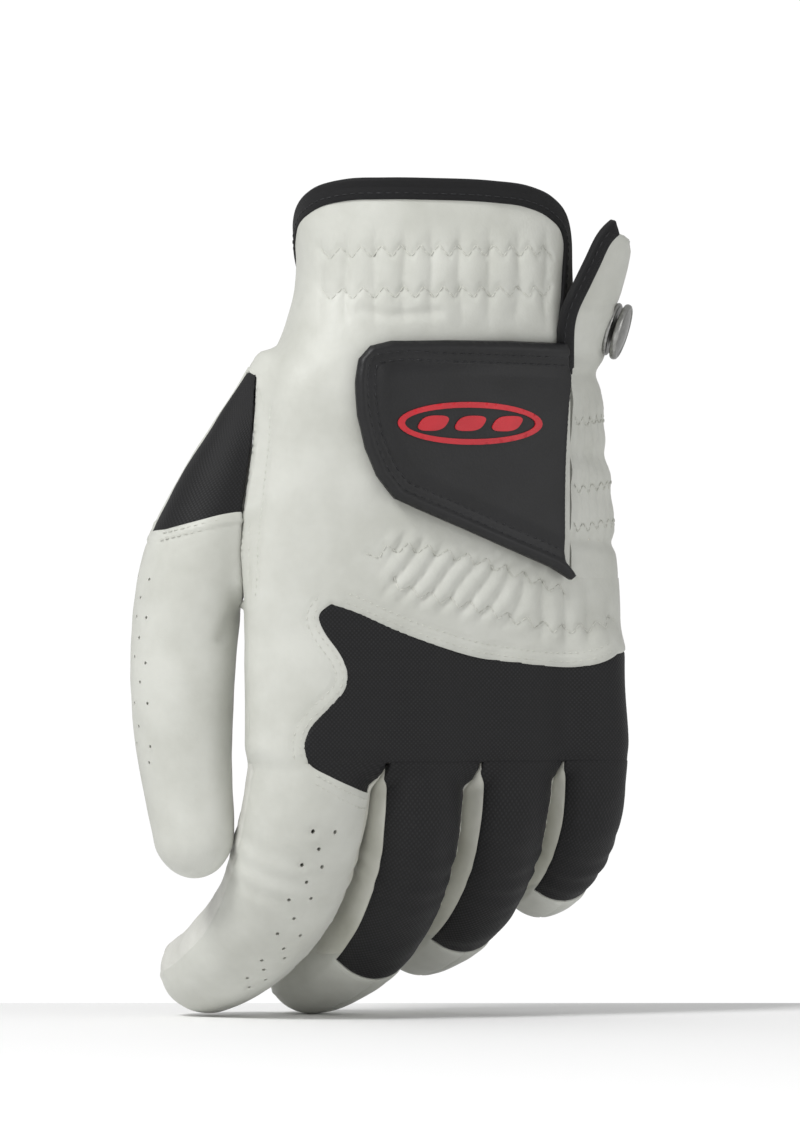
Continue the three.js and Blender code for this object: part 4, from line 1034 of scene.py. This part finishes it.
palm_outline = np.vstack([palm_rim, [(GIRTH + ULNAR_SEAM, ROOT_Z)], radial_edge[::-1][:-1]])
palm_panel = sew_panel("palm_leather", palm_outline, palm_skin, [cabretta, suede], 1.0, relief=palm_relief)
belongs(palm_panel, ["palm_panel"], bend=KNUCKLE_BEND)

# ---------------------------------------------------------------- fingers

turn_u = lambda degrees: math.radians(degrees) * ROUND
LOBE = [(-30.4, -143.2), (-28.6, -144.4), (-26.2, -145.6), (-23, -147.2), (-20, -148.6), (-17, -150),
        (-14.6, -150.9)]
INDEX_HOLES = [(-29.5, -159.75), (-24, -160), (-28, -164.25), (-32.25, -168.25), (-27.25, -168.75),
               (-31, -172.75), (-35.5, -177.25), (-30, -176.75), (-34.25, -182), (-38.5, -185.75),
               (-32.75, -186.25), (-37, -189.5), (-36.75, -192.25), (-42.5, -192.75), (-42, -195.25),
               (-46.25, -197.5), (-41.5, -198), (-45.75, -200)]
THUMB_HOLES = [(-73, -96.5), (-70.25, -97.25), (-72.5, -101.75), (-73.5, -106.5), (-71, -106.75),
               (-72.75, -111.75), (-73.75, -116.5), (-71, -118), (-72.25, -122.75), (-73.75, -128),
               (-70.5, -128), (-72.75, -133.75), (-73.25, -138), (-70, -138.75), (-70.25, -142.75)]


def punched(places):
    """Round holes, 0.9 mm across, at these pattern places."""
    angle = np.arange(8) * math.pi / 4
    ring = np.stack([0.38 * np.cos(angle), 0.45 * np.sin(angle)], -1)
    return [place + ring for place in places]


class Cut:
    """How one finger is cut: its back between two seams, where the back ends, and its side walls."""

    def __init__(self, name, back, back_end, radial_wall, ulnar_wall, back_finish, front_finish):
        self.name, self.skin, self.stall = name, finger_skins[name], FINGERS[name]
        self.low, self.high, self.back_end = back[0], back[1], back_end
        self.radial_wall, self.ulnar_wall = radial_wall, ulnar_wall
        self.back_finish, self.front_finish = back_finish, front_finish

    def at(self, *corners):
        """Pattern places of corners given as degrees round the finger and mm along it."""
        return np.array([(turn_u(degrees), x) for degrees, x in corners])

    def relief(self, ridge):
        """Soft unevenness, a fold or two at the middle joint, and a ridge along each seam."""
        top, hinge = self.stall.level, self.stall.level + 26
        seams = [turn_u(self.low), turn_u(self.high), turn_u(self.low + 360), turn_u(220), turn_u(320)]

        def rise(flat, base):
            """The height of the unevenness, folds and ridges at each place."""
            fade = ramp(top, top + 5, flat[:, 1])
            folds = np.exp(-((flat[:, 1] - hinge) / 7) ** 2) * np.sin(flat[:, 1] * 1.15) * 0.22
            near = np.min([np.abs(flat[:, 0] - seam) for seam in seams], axis=0)
            return fade * (0.28 * softness(base, 16) + 0.08 * softness(base, 6) + folds
                           + ridge * np.exp(-(near / 0.9) ** 2))
        return rise

    def sew(self):
        """Cuts, lays and names this finger's back, side walls and front."""
        name, top, end, low, high = self.name, self.stall.level, self.stall.end, self.low, self.high
        stop, bend = self.back_end, limb_bend(name + "_bend", self.stall, "knuckles", name + "_end")
        lift = -0.35 if self.back_finish is knit else 0.0
        lining = tricot if self.back_finish is knit else suede
        back = self.at((high, top), (high, stop), (low, stop), (low, top))
        holes = []
        if name == "index":
            lobe = curve_through(self.skin.from_front(LOBE), 0.8)
            lobe[0, 1] = top
            lobe = np.vstack([lobe, [(turn_u(low), lobe[-1, 1] + 0.6)]])
            back = np.vstack([self.at((high, top)), lobe, self.at((low, stop), (high, stop))])
            holes = punched(self.skin.from_front(INDEX_HOLES))
            gore = sew_panel("index_mesh_gore", np.vstack([lobe, self.at((low, top))]), self.skin,
                             [knit, tricot], 0.8, lift=-0.45)
            belongs(gore, body="knuckles")
            rows = [sewn_row(self.skin, (lobe + (0, side))[2:-3], 1.7, 1.15, 0.0) for side in (1.3, 3.1)]
            belongs(sew("index_lobe_stitches", rows, 0.16, white_thread), body="knuckles")

        def rolled(p):
            """Whether a place lies below the piece's straight top edge."""
            return p[:, 1] > top + 1.0

        piece = sew_panel(name + "_back_piece", back, self.skin, [self.back_finish, lining], 0.85, holes,
                          lift=lift, relief=self.relief(0.3), roll=0.3, rolled=rolled)
        belongs(piece,
                [name + "_back", name + "_back_root"], bend=bend)
        parts = [self.at((220 if self.radial_wall else high, top))]
        if self.radial_wall:
            taper = self.at((220, stop - 6), (high + 26, stop + 6), (high, stop - 3))
            wall = sew_panel(name + "_radial_wall", np.vstack([self.at((high, top)), taper[::-1],
                             self.at((220, top))]), self.skin, [shaded_wall_leather, suede], 0.95,
                             relief=self.relief(0.15), roll=0.3, rolled=rolled)
            belongs(wall, [name + "_wall_radial"], bend=bend)
            parts.append(taper)
        parts.append(self.at((high, stop), (90, stop), (90, end), (450, end), (450, stop),
                             (low + 360, stop)))
        if self.ulnar_wall:
            taper = self.at((low + 360, stop - 3), (low + 334, stop + 6), (320, stop - 6))
            wall = sew_panel(name + "_ulnar_wall", np.vstack([self.at((320, top)), taper[::-1],
                             self.at((low + 360, top))]), self.skin, [shaded_wall_leather, suede], 0.95,
                             relief=self.relief(0.15), roll=0.3, rolled=rolled)
            belongs(wall, [name + "_wall_ulnar"], bend=bend)
            parts += [taper, self.at((320, top))]
        else:
            parts.append(self.at((low + 360, top)))
        palm_side = sew_panel(name + "_front_piece", np.vstack(parts), self.skin, [self.front_finish, suede],
                              0.95, relief=self.relief(0.3), roll=0.3, rolled=rolled)
        belongs(palm_side, [name + "_front", name + "_front_root"], bend=bend)


for cut in (Cut("index", (40, 180), FINGERS["index"].tip + 5, False, True, cabretta, grained),
            Cut("middle", (26, 150), 79, True, True, knit, cabretta),
            Cut("ring", (26, 142), 75, True, True, knit, cabretta),
            Cut("little", (-25, 142), 60, True, False, knit, cabretta)):
    cut.sew()

# ---------------------------------------------------------------- thumb

thumb_bend = limb_bend("thumb_bend", THUMB, "hand", "thumb_end")
low_front = thumb_skin.from_front([(-66.6, -84.6), (-62, -83.6), (-57, -82.4), (-52, -81.2),
                                   (-48.4, -80.6)])
low_curve = curve_through(low_front, 0.8)
wrap_u, seam_u = turn_u(206), low_curve[-1, 0] - 3.0
insert_low = np.vstack([[(wrap_u, low_curve[0, 1] + 0.6)], low_curve, [(seam_u, low_curve[-1, 1])]])
insert = np.vstack([insert_low, [(seam_u, 1.0), (wrap_u, 1.0)]])


def thumb_relief(flat, base):
    """Soft unevenness, a raised edge over the mesh insert, and grooves for its two stitch rows."""
    rise = 0.35 * softness(base, 24) + 0.1 * softness(base, 8)
    below = gap_to(flat, insert_low)
    rise += 0.35 * np.exp(-((below - 2.3) / 1.0) ** 2) * (flat[:, 1] > 20)
    rise -= 0.28 * (np.exp(-((below - 1.3) / 0.45) ** 2) + np.exp(-((below - 3.2) / 0.45) ** 2))
    web = gap_to(base[:, ::2], np.array([(-47.5, -103), (-50, -107), (-52, -112)]))
    return rise - 0.8 * np.exp(-(web / 1.6) ** 2) * (base[:, 1] < 8)


insert_piece = sew_panel("thumb_mesh_piece", insert, thumb_skin, [knit, tricot], 0.85, lift=-0.35, thick=0.7,
                         relief=limb_relief(0.2, 18))
belongs(insert_piece, ["thumb_mesh_insert"], body="hand")
start_u, close_u = turn_u(-58), turn_u(302)
thumb_outline = np.vstack([[(start_u, 0.6), (seam_u, 0.6)], insert_low[::-1], [(wrap_u, 0.6), (close_u, 0.6)],
                           [(close_u, THUMB.end), (start_u, THUMB.end)]])
thumb_piece = sew_panel("thumb_leather", thumb_outline, thumb_skin, [cabretta, suede], 0.85,
                        punched(thumb_skin.from_front(THUMB_HOLES)), relief=thumb_relief, roll=0.4,
                        rolled=lambda p: (gap_to(p, insert_low) < 0.3)
                        | (abs(p[:, 0] - wrap_u) < 0.2) & (p[:, 1] < 50))
belongs(thumb_piece, ["thumb_base", "thumb_back", "thumb_front"], bend=thumb_bend)
thumb_rows = [sewn_row(thumb_skin, (low_curve + (0, side))[:-2], 1.8, 1.2, -0.05) for side in (1.3, 3.2)]
belongs(sew("thumb_stitches", thumb_rows, 0.16, white_thread), body="hand")

# ---------------------------------------------------------------- stitching on the back and side

rows = [sewn_row(hand_skin, row, 1.9, 1.25, -0.02, back_relief)
        for row in border_rows + side_rows + seam_rows]
belongs(sew("back_stitches", rows, 0.17, white_thread), bend=KNUCKLE_BEND)
rows = [zigzag_row(hand_skin, row, 0.05, back_relief) for row in wrist_zigzags + fan_zigzags]
belongs(sew("elastic_zigzags", rows, 0.17, white_thread), body="hand")
side_rows_at = [side_skin.from_front([(35.5, z), (38.5, z - 0.2), (41, z + 0.4), (43.2, z + 0.8)])
                for z in (-57.6, -74.6, -84.2)]
rows = [zigzag_row(side_skin, zigzag(np.vstack([row, [(0.0, row[-1, 1] + 0.4)]]), 3.6, 1.2), 0.05, side_relief)
        for row in side_rows_at]
belongs(sew("side_zigzags", rows, 0.16, white_thread), body="hand")


# ---------------------------------------------------------------- bindings

def tape_profile(width, stand, thick):
    """A folded tape's outline [in from the edge, out from the leather]: flat faces, rounded fold."""
    angle = np.linspace(math.pi / 2, 3 * math.pi / 2, 9)
    middle, half = -thick / 2, thick / 2 + stand
    fold = np.stack([0.9 * np.cos(angle), middle + half * np.sin(angle)], -1)
    under = np.array([(width * 0.5, middle - half), (width * 0.94, middle - half),
                      (width, middle - half * 0.6)])
    over = np.array([(width, middle + half * 0.6), (width * 0.94, middle + half * 0.98),
                     (width * 0.66, middle + half * 0.93), (width * 0.33, middle + half * 1.02)])
    return np.vstack([fold, under, over])


def edge_along(paths):
    """The line along an edge in space, with the way into the piece and the way out of its face;
    each path lies on its own skin, and four rounds of averaging take out the corners between them."""
    line, out = [], []
    for skin, path in paths:
        line.append(skin.at(path))
        out.append(skin.at(path, facing=True))
    line, out = np.concatenate(line), np.concatenate(out)
    keep = np.concatenate([[True], np.linalg.norm(np.diff(line, axis=0), axis=1) > 0.3])
    line, out = line[keep], out[keep]
    for _ in range(4):
        line[1:-1] = (line[:-2] + 2 * line[1:-1] + line[2:]) / 4
        out[1:-1] = (out[:-2] + 2 * out[1:-1] + out[2:]) / 4
    out /= np.linalg.norm(out, axis=1, keepdims=True)
    along = np.gradient(line, axis=0)
    along /= np.linalg.norm(along, axis=1, keepdims=True)
    inward = np.cross(out, along)
    inward /= np.linalg.norm(inward, axis=1, keepdims=True)
    return line, inward, out


def bound_edge(name, paths, width, nodes, flip, stitch_in):
    """A folded tape along an edge, with one row of stitches stitch_in mm in from its fold."""
    line, inward, out = edge_along(paths)
    inward = -inward if flip else inward
    tape_piece = band(name, line, inward, out, tape_profile(width, 0.55, 0.9), tape)
    belongs(tape_piece, nodes, body="hand")
    run = np.concatenate([[0], np.cumsum(np.linalg.norm(np.diff(line, axis=0), axis=1))])
    row = line + inward * stitch_in + out * 0.52
    first = np.arange(0.8, run[-1] - 2.5, 2.3)
    pick = lambda at, what: np.stack([np.interp(at, run, what[:, k]) for k in range(3)], -1)
    seam = thread(name + "_stitches", pick(first, row), pick(first + 1.6, row), pick(first, out), 0.17,
                  black_thread)
    belongs(seam, body="hand")


slit_top = front([(34.5, z) for z in np.linspace(-46, -35, 8)])
bound_edge("cuff_binding_tape", [(hand_skin, np.vstack([slit_top, cuff_edge, cuff_left[1:-1]])),
                                 (palm_skin, palm_rim)], 4.6, ["cuff_binding"], False, 3.0)
bound_edge("flap_binding_tape", [(side_skin, np.vstack([side_slit[-2:], flap_edge]))], 3.9,
           ["slit_binding"], False, 2.6)

# ---------------------------------------------------------------- the tab

TAB_EDGE = [(34.4, -39.0), (20, -38.6), (4, -38.3), (-10, -38.2), (-15.3, -39.4), (-18.1, -42.6), (-18.8, -48.5),
            (-18.2, -57), (-16.2, -65), (-13.3, -71.8), (-8.9, -77.3), (-2, -80.4), (8, -84.6), (20, -89.8),
            (30.5, -94.3), (35.4, -97.4), (36.2, -96.4), (33.9, -92.5), (33.3, -88), (33.3, -70), (34.2, -54)]
TAB_RISE = 3.6


def tab_outline(shrink=0.0):
    """The tab's edge in the pattern, drawn in towards its middle by a part shrink."""
    loop = hand_skin.from_front(TAB_EDGE, TAB_RISE)
    middle = loop.mean(0)
    return middle + (loop - middle) * (1 - shrink)


tab_loop = tab_outline()
tab_path = np.vstack([tab_loop, tab_loop[:1]])
tab_sewn = tab_path[:16]


def tab_relief(flat, base):
    """A padded face inside a raised rim, with grooves under its two stitch rows."""
    near = gap_to(flat, tab_path)
    sewn = gap_to(flat, tab_sewn)
    rise = 0.55 * ramp(0, 1.2, sewn) * ramp(3.4, 1.8, sewn) + 0.75 * ramp(5.0, 8.5, sewn)
    rise -= 0.3 * np.exp(-((sewn - 3.0) / 0.45) ** 2) + 0.3 * np.exp(-((sewn - 5.0) / 0.45) ** 2)
    return rise + 0.12 * softness(base, 14) - 0.5 * (1 - ramp(0, 1.0, near))


tab_face = sew_panel("tab_padded_face", tab_loop, hand_skin, [tab_skin, tab_skin], 0.8, lift=TAB_RISE + 0.2,
                     relief=tab_relief, thick=1.2, roll=0.5, rolled=lambda p: p[:, 0] > -1e9)
belongs(tab_face, ["tab_face"], bend=TAB_BEND)


def within_tab(distance):
    """A row at a distance inside the tab's sewn edge."""
    ring = curve_through(tab_sewn, 0.8)
    row = aside(ring, distance)
    return row if inside(row[8:9], tab_loop)[0] else aside(ring, -distance)


rows = [sewn_row(hand_skin, within_tab(distance)[3:-6], 2.4, 1.7, TAB_RISE + 0.24, tab_relief)
        for distance in (3.0, 5.0)]
belongs(sew("tab_stitches", rows, 0.17, black_thread), bend=TAB_BEND)
lining = sew_panel("tab_cloth_lining", tab_outline(0.03), hand_skin, [tricot, tricot], 1.2, lift=2.6,
                   thick=0.7)
belongs(lining, ["tab_lining"], bend=TAB_BEND)


def cloth_square(name, left, top, right, bottom, lift, material, node, body):
    """A patch of fastening tape with rounded corners."""
    angle = np.linspace(0, 2 * math.pi, 33)[:-1]
    c, s = signed_power(np.cos(angle), 0.28), signed_power(np.sin(angle), 0.28)
    loop = np.stack([(left + right) / 2 + (right - left) / 2 * c,
                     (top + bottom) / 2 + (top - bottom) / 2 * s], -1)
    patch = sew_panel(name, hand_skin.from_front(loop), hand_skin, [material, material], 1.2, lift=lift,
                      thick=0.9,
                      relief=limb_relief(0.05, 5))
    belongs(patch, [node], body=body)


cloth_square("loop_tape_patch", -15, -43, 14, -71, 0.95, loops, "loop_patch", "hand")
cloth_square("hook_tape_patch", -13, -45, 10, -69, 1.95, hooks, "hook_patch", "tab")


def emblem():
    """A plain raised red device: three slanting bars with rounded ends inside a long oval ring."""
    rise = TAB_RISE + 1.2
    angle = np.linspace(0, 2 * math.pi, 49)[:-1]
    middle = np.array([9.5, -58.6])
    outer = middle + np.stack([18.0 * np.cos(angle), 5.3 * np.sin(angle)], -1)
    hole = middle + np.stack([16.3 * np.cos(angle), 3.9 * np.sin(angle)], -1)
    places = lambda loop: hand_skin.from_front(loop, rise)
    parts = [sew_panel("emblem_ring", places(outer), hand_skin, [red_print, red_print], 0.9, [places(hole)],
                       lift=TAB_RISE + 0.55, relief=tab_relief, thick=0.5)]
    bar = np.stack([signed_power(np.cos(angle), 0.7) * 3.4, signed_power(np.sin(angle), 0.7) * 1.9], -1)
    bar[:, 0] += bar[:, 1] * 0.6
    for k, shift_x in enumerate((-9.2, 0.0, 9.2)):
        parts.append(sew_panel(f"emblem_bar_{k}", places(middle + (shift_x, 0) + bar), hand_skin,
                               [red_print, red_print], 0.8, lift=TAB_RISE + 0.55, relief=tab_relief, thick=0.5))
    return parts


for k, part in enumerate(emblem()):
    belongs(part, ["tab_emblem"] if k == 0 else (), body="tab")


# ---------------------------------------------------------------- elastics inside

def elastic(name, points, skin, node):
    """A strip of elastic tape against the leather's inner side, within the corners given."""
    band_piece = sew_panel(name, skin.from_front(points), skin, [elastic_tape, elastic_tape], 1.2, lift=-1.25,
                           thick=0.7, relief=limb_relief(0.15, 6))
    belongs(band_piece, [node], body="hand")


elastic("wrist_elastic_tape", [(-27, -14), (29, -14), (29, -29), (-27, -29)], hand_skin, "wrist_elastic")
elastic("back_elastic_tape",
        [(-13, -89), (0, -89), (24, -98), (40, -101), (42, -113), (20, -111), (-11, -101)],
        hand_skin, "back_elastic")
elastic("side_elastic_tape", [(37.5, -46), (43.0, -46), (43.5, -88), (37.5, -88)], side_skin,
        "side_elastic")


# ---------------------------------------------------------------- snap and ball marker

def turned(name, profile, centre, aim, material, sides=72):
    """A profile [radius, height] turned round the aim direction; both its ends are on the axis."""
    angle = np.arange(sides) * 2 * math.pi / sides
    first = np.cross(aim, UP)
    first /= np.linalg.norm(first)
    second = np.cross(aim, first)
    profile = np.asarray(profile, float)
    ring = (profile[1:-1, 0, None, None] * (np.cos(angle)[:, None] * first + np.sin(angle)[:, None] * second)
            + profile[1:-1, 1, None, None] * aim)
    points = np.concatenate([ring.reshape(-1, 3), [aim * profile[0, 1], aim * profile[-1, 1]]]) + centre
    rows = len(profile) - 2
    i, j = np.meshgrid(np.arange(rows - 1), np.arange(sides), indexing="ij")
    k = (j + 1) % sides
    quads = np.stack([i * sides + j, i * sides + k, (i + 1) * sides + k, (i + 1) * sides + j], -1)
    quads = quads.reshape(-1, 4)
    low, high = rows * sides, rows * sides + 1
    j, k = np.arange(sides), (np.arange(sides) + 1) % sides
    fans = np.stack([np.full(sides, low), k, j], -1).tolist()
    fans += np.stack([np.full(sides, high), j + (rows - 1) * sides, k + (rows - 1) * sides], -1).tolist()
    obj = new_mesh(name, points, quads.tolist() + fans, [material])
    face_out(obj)
    return obj


SNAP_AIM = np.array([0.94045, -0.17191, -0.29326])
marker_middle = np.mean(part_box("ball_marker"), axis=0) / MM
SNAP_CENTRE = marker_middle - SNAP_AIM * 2.7
MARKER = [(0, 1.7), (2.5, 1.7), (2.55, 1.62), (6.2, 1.62), (6.6, 1.66), (7.0, 1.85), (7.2, 2.2), (7.18, 2.7),
          (7.0, 3.1), (6.6, 3.35), (6.25, 3.42), (6.0, 3.3), (5.7, 3.18), (5.2, 3.3), (3.5, 3.6), (1.8, 3.74),
          (0, 3.8)]
STUD = [(0, -0.6), (6.2, -0.6), (6.7, -0.4), (6.9, 0.1), (6.7, 0.6), (6.3, 0.8), (5.9, 0.66), (5.5, 0.55),
        (3.4, 0.6), (2.5, 0.8), (2.2, 1.0), (2.2, 1.3), (0, 1.35)]
belongs(turned("marker_disc", MARKER, SNAP_CENTRE, SNAP_AIM, steel), ["ball_marker"],
        body="marker")
belongs(turned("snap_stud", STUD, SNAP_CENTRE, SNAP_AIM, steel), ["snap_base"], body="hand")
WASHER = [(0, -3.9), (3.0, -3.9), (3.35, -3.75), (3.4, -3.4), (3.2, -3.2), (0, -3.15)]
belongs(turned("snap_inner_washer", WASHER, SNAP_CENTRE, SNAP_AIM, steel, 40),
        ["snap_washer"], body="hand")

# ---------------------------------------------------------------- floor, lights and camera

low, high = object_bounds()
ground = bpy.data.meshes.new("floor")
reach_out, behind = 4.0, 0.1    # how far the floor runs to the sides and front, and behind the glove
ground.from_pydata([(-reach_out, -reach_out, low[2]), (reach_out, -reach_out, low[2]),
                    (reach_out, behind, low[2]), (-reach_out, behind, low[2])], [], [(0, 1, 2, 3)])
floor = bpy.data.objects.new("floor", ground)
bpy.context.scene.collection.objects.link(floor)
pale, _, pale_shader = blank("pale painted floor")
pale_shader.inputs["Base Color"].default_value = colour("#FAFAFA")
pale_shader.inputs["Roughness"].default_value = 0.9
ground.materials.append(pale)

world = bpy.data.worlds.new("studio")
bpy.context.scene.world = world
world.use_nodes = True
sky = world.node_tree.nodes["Background"]
# a white wall behind the glove and a darker room round it, so that folds keep their shade
WALL_STARTS, WALL_FULL = 0.93, 0.985    # cosines of the angle from straight behind the glove
ROOM_LIGHT, WALL_LIGHT = 0.5, 1.02
toward = add(world.node_tree, "ShaderNodeTexCoord")
parts = add(world.node_tree, "ShaderNodeSeparateXYZ", {"Vector": toward.outputs["Generated"]})
wall = add(world.node_tree, "ShaderNodeMapRange",
           {"Value": parts.outputs["Y"], "From Min": WALL_STARTS, "From Max": WALL_FULL,
            "To Min": ROOM_LIGHT, "To Max": WALL_LIGHT}, interpolation_type="SMOOTHSTEP")
world.node_tree.links.new(wall.outputs["Result"], sky.inputs["Strength"])
sky.inputs["Color"].default_value = (1, 1, 1, 1)


def softbox(name, position, size, power):
    """A square soft light aimed at the glove's middle."""
    data = bpy.data.lights.new(name, "AREA")
    data.shape, data.size, data.energy = "SQUARE", size, power
    data.use_custom_distance, data.cutoff_distance = True, 40.0
    lamp = bpy.data.objects.new(name, data)
    bpy.context.scene.collection.objects.link(lamp)
    middle = np.array([0, 0, -0.1])
    away = np.array(position, float) - middle
    away /= np.linalg.norm(away)
    side = np.cross((0, 0, 1), away)
    side /= np.linalg.norm(side)
    turned_to = np.eye(4)
    turned_to[:3] = np.stack([side, np.cross(away, side), away, position], -1)
    lamp.matrix_world = Matrix(turned_to.tolist())
    return lamp


softbox("key", (-0.9, -1.1, 1.2), 0.5, 26)
softbox("fill", (1.5, -0.8, 0.2), 0.8, 4)

camera_data = bpy.data.cameras.new("camera")
camera_data.sensor_fit, camera_data.sensor_height = "VERTICAL", 36.0
DISTANCE, FRAME_HEIGHT = 2.5, 0.28125
camera_data.lens = 36.0 * DISTANCE / FRAME_HEIGHT
camera_data.clip_end = 20.0
camera = bpy.data.objects.new("camera", camera_data)
bpy.context.scene.collection.objects.link(camera)
camera.location = (-0.008, -DISTANCE, -0.0931)
camera.rotation_euler = (math.pi / 2, 0, 0)
bpy.context.scene.camera = camera
bpy.context.scene.view_settings.view_transform = "Standard"
